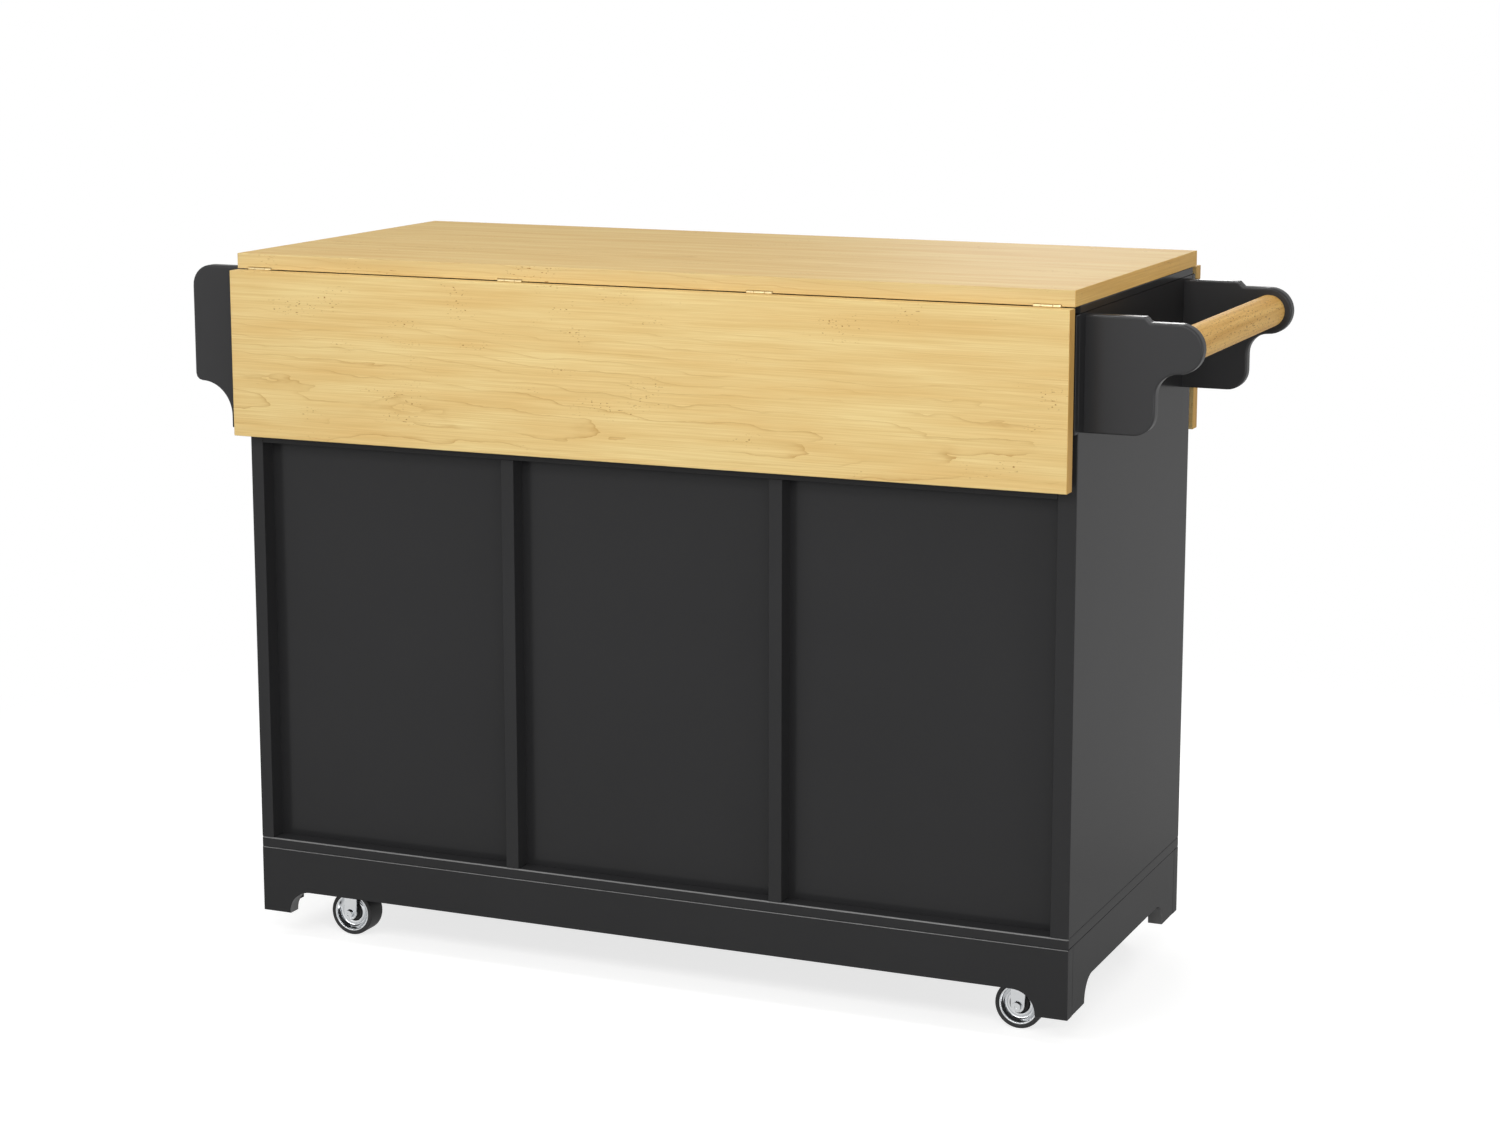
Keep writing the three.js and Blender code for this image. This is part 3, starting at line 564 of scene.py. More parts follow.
class Shape:
    """A shape in the making, in millimetres: one closed solid or several."""

    def __init__(self) -> None:
        """Starts an empty shape."""
        self.mesh = bmesh.new()

    @classmethod
    def block(cls, low: Corner, high: Corner, soften: float = 0.0, steps: int = 2) -> "Shape":
        """Makes a block between two corners.

        Args:
            low: The lowest corner.
            high: The highest corner.
            soften: Radius of its edges.
            steps: Facets across a softened edge.

        Returns:
            The block.
        """
        shape = cls()
        size = Vector(high) - Vector(low)
        middle = (Vector(high) + Vector(low)) / 2
        bmesh.ops.create_cube(
            shape.mesh, size=1.0, matrix=Matrix.Translation(middle) @ Matrix.Diagonal((*size, 1.0))
        )
        return shape.soften(shape.mesh.edges[:], soften, steps)

    @classmethod
    def rod(cls, start: Corner, end: Corner, radius: float, sides: int = 24, soften: float = 0.0) -> "Shape":
        """Makes a cylinder between two points.

        Args:
            start: The middle of one end.
            end: The middle of the other.
            radius: Its radius.
            sides: Its number of sides.
            soften: Radius of the edge round each end.

        Returns:
            The cylinder.
        """
        shape = cls()
        line = Vector(end) - Vector(start)
        turn = line.to_track_quat("Z", "Y").to_matrix().to_4x4()
        bmesh.ops.create_cone(
            shape.mesh, cap_ends=True, cap_tris=False, segments=sides, radius1=radius, radius2=radius,
            depth=line.length, matrix=Matrix.Translation((Vector(start) + Vector(end)) / 2) @ turn,
        )
        rims = [edge for edge in shape.mesh.edges if any(len(face.verts) > 4 for face in edge.link_faces)]
        return shape.soften(rims, soften)

    @classmethod
    def turned(cls, profile: list[Span], foot: Corner, axis: Axis, steps: int = 40) -> "Shape":
        """Spins a profile about an axis.

        Args:
            profile: Radius and height of each point. It closes on itself where it doesn't end on the axis.
            foot: The point of the axis at height 0.
            axis: The direction of the height.
            steps: Facets round the shape.

        Returns:
            The turned shape.
        """
        shape = cls()
        points = [shape.mesh.verts.new((radius, 0.0, height)) for radius, height in profile]
        pairs = list(zip(points, points[1:]))
        if profile[0][0] > 0 and profile[-1][0] > 0:
            pairs.append((points[-1], points[0]))
        edges = [shape.mesh.edges.new(pair) for pair in pairs]
        bmesh.ops.spin(
            shape.mesh, geom=points + edges, cent=(0, 0, 0), axis=(0, 0, 1), dvec=(0, 0, 0),
            angle=2 * math.pi, steps=steps, use_merge=True, use_duplicate=False,
        )
        bmesh.ops.remove_doubles(shape.mesh, verts=shape.mesh.verts[:], dist=WELD)
        turn = Vector(axis.value).to_track_quat("Z", "Y").to_matrix().to_4x4()
        return shape.moved(Matrix.Translation(foot) @ turn)

    @classmethod
    def plate(cls, corners: list[Corner], depth: Span, soften: float = 0.0, steps: int = 3) -> "Shape":
        """Makes a plate from its outline in X and Z.

        Args:
            corners: X, Z and radius of each corner.
            depth: Its two faces on Y.
            soften: Radius of the edges round its two faces.
            steps: Facets across a softened edge.

        Returns:
            The plate.
        """
        shape = cls()
        mesh = shape.mesh
        facet, weld = 3.0, 0.06  # length of a rounded corner's facets, and the gap that is closed between two
        points = [mesh.verts.new((x, depth[0], z)) for x, z, _ in corners]
        mesh.faces.new(points)
        for point, (_, _, radius) in zip(points, corners):
            if radius:
                bmesh.ops.bevel(
                    mesh, geom=[point], offset=radius, segments=max(3, round(radius / facet)), profile=0.5,
                    affect="VERTICES", material=-1, clamp_overlap=False,
                )
        bmesh.ops.remove_doubles(mesh, verts=mesh.verts[:], dist=weld)
        made = bmesh.ops.extrude_face_region(mesh, geom=mesh.faces[:])["geom"]
        bmesh.ops.translate(
            mesh, verts=[item for item in made if isinstance(item, bmesh.types.BMVert)],
            vec=(0.0, depth[1] - depth[0], 0.0),
        )
        bmesh.ops.recalc_face_normals(mesh, faces=mesh.faces[:])
        faces = [face for face in mesh.faces if abs(face.normal.y) > 0.9]
        return shape.soften(list({edge for face in faces for edge in face.edges}), soften, steps)

    def soften(self, edges: list[bmesh.types.BMEdge], radius: float, steps: int = 2) -> "Shape":
        """Rounds edges off.

        Args:
            edges: The edges.
            radius: The radius. Nothing is done where it is 0.
            steps: Facets across each rounding.

        Returns:
            This shape.
        """
        if radius > 0:
            bmesh.ops.bevel(
                self.mesh, geom=edges, offset=radius, segments=steps, profile=0.5,
                affect="EDGES", material=-1, clamp_overlap=True,
            )
        return self

    def moved(self, matrix: Matrix) -> "Shape":
        """Moves, turns or mirrors the whole shape and returns it."""
        bmesh.ops.transform(self.mesh, matrix=matrix, verts=self.mesh.verts[:])
        return self

    def add(self, *others: "Shape") -> "Shape":
        """Takes other shapes in as further solids of this one.

        Args:
            others: The shapes, which are used up.

        Returns:
            This shape.
        """
        for other in others:
            mesh = other.to_mesh("joined")
            self.mesh.from_mesh(mesh)
            bpy.data.meshes.remove(mesh)
        return self

    def cut(self, *tools: "Shape") -> "Shape":
        """Takes the volume of other shapes out of this one.

        Args:
            tools: The shapes to cut with, which are used up.

        Returns:
            This shape.
        """
        body = bpy.data.objects.new("cut_body", self.to_mesh("cut_body"))
        tool = bpy.data.objects.new("cut_tool", Shape().add(*tools).to_mesh("cut_tool"))
        for item in (body, tool):
            bpy.context.scene.collection.objects.link(item)
        modifier = body.modifiers.new("cut", "BOOLEAN")
        modifier.operation, modifier.solver, modifier.object = "DIFFERENCE", "EXACT", tool
        evaluated = body.evaluated_get(bpy.context.evaluated_depsgraph_get())
        result = bpy.data.meshes.new_from_object(evaluated)
        self.mesh = bmesh.new()
        self.mesh.from_mesh(result)
        bmesh.ops.dissolve_degenerate(self.mesh, edges=self.mesh.edges[:], dist=10 * WELD)
        meshes = [body.data, tool.data, result]
        for item in (body, tool):
            bpy.data.objects.remove(item)
        for mesh in meshes:
            bpy.data.meshes.remove(mesh)
        return self

    def trim(self, point: Corner, outward: Corner) -> "Shape":
        """Cuts off what lies beyond a plane and closes the cut.

        Args:
            point: A point of the plane.
            outward: The side that goes.

        Returns:
            This shape.
        """
        cut = bmesh.ops.bisect_plane(
            self.mesh, geom=self.mesh.verts[:] + self.mesh.edges[:] + self.mesh.faces[:],
            plane_co=point, plane_no=outward, clear_outer=True, dist=WELD,
        )["geom_cut"]
        rim = [item for item in cut if isinstance(item, bmesh.types.BMEdge)]
        bmesh.ops.edgeloop_fill(self.mesh, edges=rim)
        return self

    def to_mesh(self, name: str) -> bpy.types.Mesh:
        """Writes the shape as a mesh with its faces outwards, and uses it up.

        Args:
            name: The mesh's name.

        Returns:
            The mesh, still in millimetres.
        """
        bmesh.ops.recalc_face_normals(self.mesh, faces=self.mesh.faces[:])
        mesh = bpy.data.meshes.new(name)
        self.mesh.to_mesh(mesh)
        self.mesh.free()
        return mesh


def add_piece(shape: Shape, name: str, body: str, *finishes: Finish, replaces: tuple = ()) -> None:
    """Makes a shape a finished piece of the island.

    Args:
        shape: The shape, which is used up.
        name: The piece's name.
        body: The body it moves with.
        finishes: Its finishes, in the order of the faces' material numbers.
        replaces: The frame's nodes that it stands for.
    """
    for face in shape.mesh.faces:
        face.smooth = True
    mesh = shape.to_mesh(name)
    mesh.transform(Matrix.Scale(MM, 4))
    mesh.set_sharp_from_angle(angle=SHARP)
    for finish in finishes:
        mesh.materials.append(finish.material())
    piece = bpy.data.objects.new(name, mesh)
    bpy.context.scene.collection.objects.link(piece)
    piece.modifiers.new("weighted normals", "WEIGHTED_NORMAL").keep_sharp = True
    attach(piece, body)
    if replaces:
        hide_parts(*replaces)
    log.info("%s: %d faces on %s", name, len(mesh.polygons), body)


def node_box(node: str) -> tuple[Vector, Vector]:
    """Returns the lowest and highest corner of a frame node, in millimetres."""
    low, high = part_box(node)
    return low / MM, high / MM


def add_board(node: str, finish: Finish, edge: float, steps: int = 3) -> None:
    """Builds a plain board of the cabinet where the frame has it.

    Args:
        node: The frame's board, which it stands for.
        finish: Its finish.
        edge: Radius of its edges.
        steps: Facets across an edge.
    """
    add_piece(Shape.block(*node_box(node), edge, steps), f"{node}_board", ROOT, finish, replaces=(node,))


@dataclass(frozen=True)
class Screw:
    """The pan head of a screw, with a cross recess."""

    radius: float = 3.4
    height: float = 0.7
    sunk: float = 0.6  # how far the head's foot is let into the plate
    arm: float = 0.9  # width of the recess's arms
    arm_reach: float = 0.55  # their length, as a share of the radius
    step: float = 0.05  # between the floors of the two arms

    def head(self) -> Shape:
        """Makes the head, standing on z = 0.

        Returns:
            The head.
        """
        radius, height = self.radius, self.height
        shoulder, crown = height * 0.5, radius * 0.8
        head = Shape.turned(
            [(0, -self.sunk), (radius, -self.sunk), (radius, shoulder), (crown, height), (0, height)],
            (0, 0, 0), Axis.Z, steps=16,
        )
        long, short, top = radius * self.arm_reach, self.arm / 2, height + PAST
        for arm in (
            Shape.block((-long, -short, 0), (long, short, top)),
            Shape.block((-short, -long, self.step), (short, long, top)),
        ):
            head.cut(arm)
        return head


@dataclass(frozen=True)
class Channel:
    """A length of folded steel channel, of which drawer runners are made."""

    height: float
    depth: float
    length: float = 400.0
    sheet: float = 1.5

    def on_face(self, face: float, outward: int, level: float, end: float) -> Shape:
        """Makes the channel with its back on an upright face.

        Args:
            face: The face on X.
            outward: 1 or -1, the way that it opens.
            level: Its middle on Z.
            end: Its front end on Y.

        Returns:
            The channel.
        """
        half, sheet, lip = self.height / 2, self.sheet, self.depth
        outline = [
            (0, -half), (lip, -half), (lip, sheet - half), (sheet, sheet - half),
            (sheet, half - sheet), (lip, half - sheet), (lip, half), (0, half),
        ]
        return Shape.plate([(face + outward * x, level + z, 0) for x, z in outline], (end - self.length, end))


# ---------------------------------------------------------------- cabinet


class Bay(Enum):
    """The cabinet's three bays, seen with +X on the right."""

    LEFT = 0
    MIDDLE = 1
    RIGHT = 2


def paint_arris_highlights(shape: Shape) -> Shape:
    """Gives the second finish to the rounded edges that face up along the back and the front: a pale lacquer
    that paints a highlight on them.

    Args:
        shape: A board with rounded edges.

    Returns:
        The board.
    """
    slightly = 0.2  # what the normal of a rounded edge has along both axes
    shape.mesh.normal_update()
    for face in shape.mesh.faces:
        if face.normal.z > slightly and abs(face.normal.y) > slightly:
            face.material_index = 1
    return shape


@dataclass
class Cabinet:
    """The three-bay cabinet: uprights, bottom board, aprons and rest rails, back panels and shelves."""

    left_panel: float = 18.0  # its thickness, as with the next three
    right_panel: float = 24.0
    divider: float = 18.0
    apron: float = 16.0
    apron_drop: float = 223.0  # height of the notches that the aprons lie in
    rest_rail_height: float = 143.0
    edge: float = 1.2
    # Radius of the bottom board's edges; its upper arrises carry a painted highlight.
    highlight_edge: float = 1.5
    panel_edge: float = 0.4
    pin_radius: float = 2.5
    pin_reach: float = 10.0  # out of the upright
    pin_setback: float = 45.0  # from the shelf's long edges
    pin_play: float = 0.3  # between a pin and the shelf on it
    pin_collar: float = 1.6  # its thickness, and how far it stands out round the pin
    runner: Channel = Channel(height=36.0, depth=12.6)
    runner_setback: float = 0.3  # from the drawer box's front

    def __post_init__(self) -> None:
        """Reads the cabinet's outer faces off the frame."""
        low, high = node_box("bottom_board")
        self.left, self.back, _ = low
        self.right, self.front, self.floor = high
        self.top = node_box("sub_top")[0].z

    def bay(self, bay: Bay) -> Span:
        """Works out where a bay is.

        Args:
            bay: The bay.

        Returns:
            Its two faces on X.
        """
        clear = self.right - self.left - self.left_panel - self.right_panel - 2 * self.divider
        start = self.left + self.left_panel + bay.value * (clear / 3 + self.divider)
        return start, start + clear / 3

    def shelf_pins(self, face: float, outward: int) -> Shape:
        """Makes the pins that carry one end of a shelf.

        Args:
            face: The upright's face on X.
            outward: 1 or -1, into the bay.

        Returns:
            The pins.
        """
        low, high = node_box("shelf_left")
        radius, collar = self.pin_radius, self.pin_collar
        level = low.z - self.pin_play - radius
        pins = Shape()
        for y in (low.y + self.pin_setback, high.y - self.pin_setback):
            start, end, shoulder = ((face + outward * x, y, level) for x in (0.0, self.pin_reach, collar))
            pins.add(
                Shape.rod(start, end, radius, sides=20, soften=0.5),
                Shape.rod(start, shoulder, radius + collar, sides=20, soften=0.4),
            )
        return pins

    def runner_channel(self, face: float, outward: int, drawer: str) -> Shape:
        """Makes the fixed channel of a drawer runner.

        Args:
            face: The divider's face on X.
            outward: 1 or -1, into the bay.
            drawer: The drawer's name.

        Returns:
            The channel.
        """
        low, high = node_box(f"drawer_{drawer}_box")
        return self.runner.on_face(face, outward, (low.z + high.z) / 2, high.y - self.runner_setback)

    def build_uprights(self) -> None:
        """Builds the side panels and the dividers, with what is fixed to them."""
        left, centre, right = (self.bay(bay) for bay in Bay)
        for name, xs in {"left": (self.left, left[0]), "right": (right[1], self.right)}.items():
            board = Shape.block((xs[0], self.back, self.floor), (xs[1], self.front, self.top))
            rims = [edge for edge in board.mesh.edges if min(v.co.z for v in edge.verts) < self.top - 1]
            board.soften(rims, self.edge, steps=3)
            node = f"side_panel_{name}"
            add_piece(board, f"{node}_board", ROOT, LACQUER, replaces=(node,))
        for name, xs in {"left": (left[1], centre[0]), "right": (centre[1], right[0])}.items():
            board = Shape.block(
                (xs[0], self.back, self.floor), (xs[1], self.front, self.top), self.edge, steps=3
            )
            notches = (
                (self.back - PAST, self.back + self.apron), (self.front - self.apron, self.front + PAST),
            )
            board.cut(*(
                Shape.block(
                    (xs[0] - PAST, ys[0], self.top - self.apron_drop), (xs[1] + PAST, ys[1], self.top + PAST)
                )
                for ys in notches
            ))
            node = f"divider_{name}"
            add_piece(board, f"{node}_board", ROOT, LACQUER, replaces=(node,))
            face, outward = (xs[1], 1) if name == "left" else (xs[0], -1)
            channels = Shape().add(*(
                self.runner_channel(face, outward, drawer) for drawer in ("lower", "upper")
            ))
            add_piece(channels, f"runner_channels_{name}", ROOT, ZINC)
        for name, (x0, x1) in {"left": left, "right": right}.items():
            pins = self.shelf_pins(x0, 1).add(self.shelf_pins(x1, -1))
            add_piece(pins, f"shelf_pins_{name}", ROOT, ZINC)

    def build_boards(self) -> None:
        """Builds the bottom board, the back panels and the shelves, and lacquers the sub-top."""
        low, high = node_box("bottom_board")
        # The bottom board's upward arrises take the pale lacquer as a painted highlight.
        board = paint_arris_highlights(Shape.block(low, high, self.highlight_edge, steps=3))
        add_piece(board, "bottom_board_made", ROOT, LACQUER, PAINTED_LIGHT_LACQUER, replaces=("bottom_board",))
        for bay in Bay:
            add_board(f"back_panel_{bay.name.lower()}", LACQUER, self.panel_edge, steps=2)
        for name in ("left", "right"):
            add_board(f"shelf_{name}", MELAMINE, self.edge, steps=2)
        sub_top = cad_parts["sub_top"]
        sub_top.data.materials.clear()
        sub_top.data.materials.append(LACQUER.material())

    def build_aprons(self) -> None:
        """Builds the two aprons and the rails that the hanging leaves rest before."""
        inner = (self.left + self.left_panel, self.right - self.right_panel)
        for name, face, outward in (("back", self.back, -1), ("front", self.front, 1)):
            low, high = node_box(f"apron_{name}")
            ys = sorted((face, face - outward * self.apron))
            rail_ys = (low.y, face) if outward < 0 else (face, high.y)
            apron = Shape.block((inner[0], ys[0], low.z), (inner[1], ys[1], self.top), self.edge, steps=3)
            rail = Shape.block(
                (self.left, rail_ys[0], self.top - self.rest_rail_height), (self.right, rail_ys[1], self.top),
                self.edge, steps=3,
            )
            add_piece(apron.add(rail), f"apron_{name}_boards", ROOT, LACQUER, replaces=(f"apron_{name}",))

    def build(self) -> None:
        """Builds the whole cabinet."""
        self.build_uprights()
        self.build_boards()
        self.build_aprons()


@dataclass
class Plinth:
    """The four arched boards under the cabinet."""

    thickness: float = 20.0
    arch_height: float = 31.5
    arch_radius: float = 30.0  # of the arch's upper corners
    long_foot: float = 42.0  # width of a foot of the long boards
    end_foot: float = 51.0
    edge: float = 0.9

    def board(self, length: float, foot: float, low: float, high: float) -> Shape:
        """Makes one arched board about X = 0, with its outer face on Y = 0.

        The sides of the arch get the second, pale finish: a painted reflection of the pale floor under them.

        Args:
            length: Its length on X.
            foot: Width of each foot.
            low: Its foot on Z.
            high: Its top on Z.

        Returns:
            The board.
        """
        half, inner, crown = length / 2, length / 2 - foot, low + self.arch_height
        board = Shape.plate([
            (-half, low, 0), (-inner, low, 0), (-inner, crown, self.arch_radius),
            (inner, crown, self.arch_radius), (inner, low, 0), (half, low, 0),
            (half, high, 0), (-half, high, 0),
        ], (0.0, self.thickness), self.edge)
        # The arch's sides take the pale lacquer as a painted reflection of the floor.
        board.mesh.normal_update()
        for face in board.mesh.faces:
            if abs(face.normal.x) > 0.5 and abs(face.calc_center_median().x) < half - 2 * self.edge:
                face.material_index = 1
        return board

    def build(self) -> None:
        """Builds the four boards where the frame has them, with painted highlights on their upper arrises."""
        for name, turn in {"back": 0.0, "front": math.pi, "left": -QUARTER, "right": QUARTER}.items():
            low, high = node_box(f"plinth_{name}")
            size, middle = high - low, (high + low) / 2
            long = name in ("back", "front")
            length, foot = (size.x, self.long_foot) if long else (size.y, self.end_foot)
            turned = Matrix.Rotation(turn, 4, "Z")
            middle.z = 0
            start = Matrix.Translation(middle) @ turned @ Matrix.Translation((0, -self.thickness / 2, 0))
            # The upward arrises take the pale lacquer as a painted highlight.
            board = paint_arris_highlights(self.board(length, foot, low.z, high.z).moved(start))
            add_piece(
                board, f"plinth_{name}_board", ROOT, LACQUER, PAINTED_LIGHT_LACQUER, replaces=(f"plinth_{name}",)
            )


# ---------------------------------------------------------------- worktop and leaves


def band_ends(shape: Shape) -> Shape:
    """Gives the faces along X the second finish and those along Y the third.

    Args:
        shape: A board.

    Returns:
        The board.
    """
    squarely = 0.6  # what a face's normal has along an axis when the face counts as an end
    shape.mesh.normal_update()
    for face in shape.mesh.faces:
        along_x, along_y = abs(face.normal.x) > squarely, abs(face.normal.y) > squarely
        face.material_index = 1 if along_x else 2 * int(along_y)
    return shape


@dataclass
class LeafHinge:
    """A drop leaf hinge: a plate with two knuckles under the worktop, and a flap with one on the leaf."""

    width: float = 34.0
    outer_knuckle: float = 9.5  # length of each of the two
    barrel: float = 2.2
    barrel_edge: float = 0.35
    pin: float = 1.0
    pin_proud: float = 0.5  # at each end of the barrel
    sheet: float = 2.0
    sheet_edge: float = 0.4
    plate_start: float = 2.8  # from the pin
    plate_length: float = 58.0
    flap_start: float = -3.4  # from the pin
    flap_length: float = 62.0
    run: float = 0.4  # play between the knuckles
    lap: float = 1.0  # by which a neck runs on over its plate
    corner: float = 4.0
    # Where the three screws are: across in millimetres, along as a share of the plate's length.
    screws: tuple[Span, ...] = ((0.0, 0.2), (-8.5, 0.72), (8.5, 0.72))

    def knuckle(self, span: Span) -> Shape:
        """Returns one knuckle about the X axis, between two places on it."""
        return Shape.rod((span[0], 0, 0), (span[1], 0, 0), self.barrel, sides=28, soften=self.barrel_edge)

    def screwed_plate(self, length: float) -> Shape:
        """Makes the flat part of one half, from Y = 0 outwards, its face on Z = 0 and its screws in it.

        Args:
            length: Its length on Y.

        Returns:
            The plate.
        """
        half = self.width / 2
        outline = [(-half, 0, 0), (half, 0, 0), (half, length, self.corner), (-half, length, self.corner)]
        plate = Shape.plate(outline, (-self.sheet, 0.0), self.sheet_edge, steps=2)
        plate.moved(Matrix.Rotation(QUARTER, 4, "X") @ Matrix.Scale(-1, 4, (0, 0, 1)))
        heads = Shape()
        for x, share in self.screws:
            heads.add(Screw().head().moved(Matrix.Translation((x, share * length, 0))))
        return plate.add(heads)

    def fixed_half(self) -> Shape:
        """Makes the half under the worktop: its plate runs along +Y from the X axis and faces down.

        Returns:
            The fixed half, with the pin.
        """
        half = self.width / 2
        flip = Matrix.Translation((0, self.plate_start, -self.sheet)) @ Matrix.Rotation(math.pi, 4, "Y")
        made = self.screwed_plate(self.plate_length).moved(flip)
        for low, high in ((-half, self.outer_knuckle - half), (half - self.outer_knuckle, half)):
            made.add(
                self.knuckle((low, high)),
                Shape.block((low, 0, -self.sheet), (high, self.plate_start + self.lap, -self.sheet / 2)),
            )
        end = half + self.pin_proud
        return made.add(Shape.rod((-end, 0, 0), (end, 0, 0), self.pin, sides=16, soften=0.3))

    def moving_half(self) -> Shape:
        """Makes the half on the leaf: its flap hangs along -Z from the X axis and faces +Y.

        Returns:
            The moving half.
        """
        middle = self.width / 2 - self.outer_knuckle - self.run
        hang = Matrix.Translation((0, self.sheet, self.flap_start)) @ Matrix.Rotation(-QUARTER, 4, "X")
        made = self.screwed_plate(self.flap_length).moved(hang)
        foot = self.flap_start - self.lap
        neck = Shape.block((-middle, self.sheet / 2, foot), (middle, self.sheet, 0))
        return made.add(self.knuckle((-middle, middle)), neck)


@dataclass
class Top:
    """The worktop and its two drop leaves, of maple veneered board with edge bands."""

    edge: float = 1.0
    relief: float = 2.8
    relief_play: float = 0.6  # beside a hinge
    leaf_drop: float = 1.0  # from the worktop's underside to a hanging leaf
    hinge_inset: float = 34.5  # from the leaf's end
    hinge_spacing: float = 342.0  # between the two inner hinges

    def __post_init__(self) -> None:
        """Reads the worktop's place off the frame."""
        self.low, self.high = node_box("worktop")
        middle = (self.low.x + self.high.x) / 2
        self.hinges = [
            self.low.x + self.hinge_inset, middle - self.hinge_spacing / 2,
            middle + self.hinge_spacing / 2, self.high.x - self.hinge_inset,
        ]
        self.hinge = LeafHinge()

    def reliefs(self, y: float) -> list[Shape]:
        """Makes the cutters that leave room for the barrels along one long edge.

        Args:
            y: The edge's place on Y.

        Returns:
            One cutter for each hinge.
        """
        half, z = self.hinge.width / 2 + self.relief_play, self.low.z
        return [Shape.rod((x - half, y, z), (x + half, y, z), self.relief, sides=20) for x in self.hinges]

    def build_worktop(self) -> None:
        """Builds the worktop. Its bands are cut from other wood than its face, so their tone differs."""
        board = Shape.block(self.low, self.high, self.edge, steps=3)
        board.cut(*self.reliefs(self.low.y), *self.reliefs(self.high.y))
        face = MapleVeneer(pith=(140.0, -90.0, 895.0))
        end = MapleVeneer(
            "maple edge band across the end", grain=Axis.Y, pith=(400.0, 60.0, 860.0),
            light="#F2CA7C", middle="#E5B96B", dark="#C8964B", ring=7.0,
        )
        side = MapleVeneer(
            "maple edge band along the side", pith=(0.0, -240.0, 840.0),
            light="#E3CC93", middle="#D8BD82", dark="#CFAA6E",
        )
        add_piece(band_ends(board), "worktop_board", ROOT, face, end, side, replaces=("worktop",))

    def build_leaf(self, name: str, pith: Corner) -> None:
        """Builds one leaf with its hinges.

        Args:
            name: The side it hangs on, "back" or "front".
            pith: A point of the line that the growth rings run about.
        """
        node = f"leaf_{name}"
        edge_y = self.low.y if name == "back" else self.high.y
        low, high = node_box(node)
        thickness = self.high.z - self.low.z
        ys = (edge_y - thickness, edge_y) if name == "back" else (edge_y, edge_y + thickness)
        top = self.low.z - self.leaf_drop
        board = Shape.block((low.x, ys[0], low.z), (high.x, ys[1], top), self.edge, steps=3)
        board.cut(*self.reliefs(edge_y))
        # The leaves' veneer is a shade paler than the worktop's, and the bands across their ends are browner.
        face = MapleVeneer(
            f"maple veneer of the {name} leaf", pith=pith, light="#ECD496", middle="#E2C07F", dark="#CDA663",
        )
        end = MapleVeneer(
            f"maple edge band of the {name} leaf", grain=Axis.Z, pith=(500.0, -300.0, 700.0),
            light="#DDB266", middle="#CFA25A", dark="#B4853F",
        )
        add_piece(band_ends(board), f"{node}_board", node, face, end, face, replaces=(node,))
        turn = Matrix.Rotation(0.0 if name == "back" else math.pi, 4, "Z")
        flaps = Shape()
        for number, x in enumerate(self.hinges if name == "back" else reversed(self.hinges), 1):
            place = Matrix.Translation((x, edge_y, self.low.z)) @ turn
            fixed = self.hinge.fixed_half().moved(place)
            hinge = f"{node}_hinge_{number}"
            add_piece(fixed, f"{hinge}_plate", ROOT, YELLOW_ZINC, replaces=(hinge,))
            flaps.add(self.hinge.moving_half().moved(place))
        add_piece(flaps, f"{node}_flaps", node, YELLOW_ZINC)

    def build(self) -> None:
        """Builds the worktop and both leaves."""
        self.build_worktop()
        self.build_leaf("back", pith=(-60.0, -330.0, 742.0))
        self.build_leaf("front", pith=(120.0, 330.0, 780.0))


# ---------------------------------------------------------------- racks


@dataclass
class TowelRack:
    """The towel rack at the right end: two shaped brackets and a dowel between them."""

    root: Span = (760.5, 902.5)  # foot and top of the bracket's root, on Z
    root_reach: float = 86.0  # how far the root stands out from the panel
    foot_radius: float = 26.0
    throat_radius: float = 27.0  # where the root turns into the arm
    arm: Span = (836.0, 896.0)  # foot and top of the arm
    shoulder: float = 72.0  # from the panel to where the upper edge slopes down to the arm
    edge: float = 3.0

    def bracket(self, wall: float, tip: float, depth: Span) -> Shape:
        """Makes one bracket.

        Args:
            wall: The side panel's face on X.
            tip: The bracket's end on X.
            depth: Its two faces on Y.

        Returns:
            The bracket.
        """
        foot, top = self.root
        arm_foot, arm_top = self.arm
        tip_radius = (arm_top - arm_foot) / 2 - EASE
        inside = wall - 2 * self.edge
        corners = [
            (inside, foot, 0), (wall + self.root_reach, foot, self.foot_radius),
            (wall + self.root_reach, arm_foot, self.throat_radius), (tip, arm_foot, tip_radius),
            (tip, arm_top, tip_radius), (wall + self.shoulder + top - arm_top, arm_top, 0),
            (wall + self.shoulder, top, 0), (inside, top, 0),
        ]
        return Shape.plate(corners, depth, self.edge, steps=4).trim((wall, 0, 0), (-1, 0, 0))

    def build(self, cabinet: Cabinet) -> None:
        """Builds the brackets and the rail.

        Args:
            cabinet: The cabinet that carries them.
        """
        # The brackets take the lighter lacquer: painted light.
        for name in ("back", "front"):
            node = f"towel_bracket_{name}"
            low, high = node_box(node)
            made = self.bracket(cabinet.right, high.x, (low.y, high.y))
            add_piece(made, f"{node}_board", ROOT, LIT_RACK_LACQUER, replaces=(node,))
        low, high = node_box("towel_rail")
        middle, radius = (low + high) / 2, (high.z - low.z) / 2
        rail = Shape.rod((middle.x, low.y, middle.z), (middle.x, high.y, middle.z), radius, sides=64)
        add_piece(rail, "towel_rail_dowel", ROOT, BEECH, replaces=("towel_rail",))


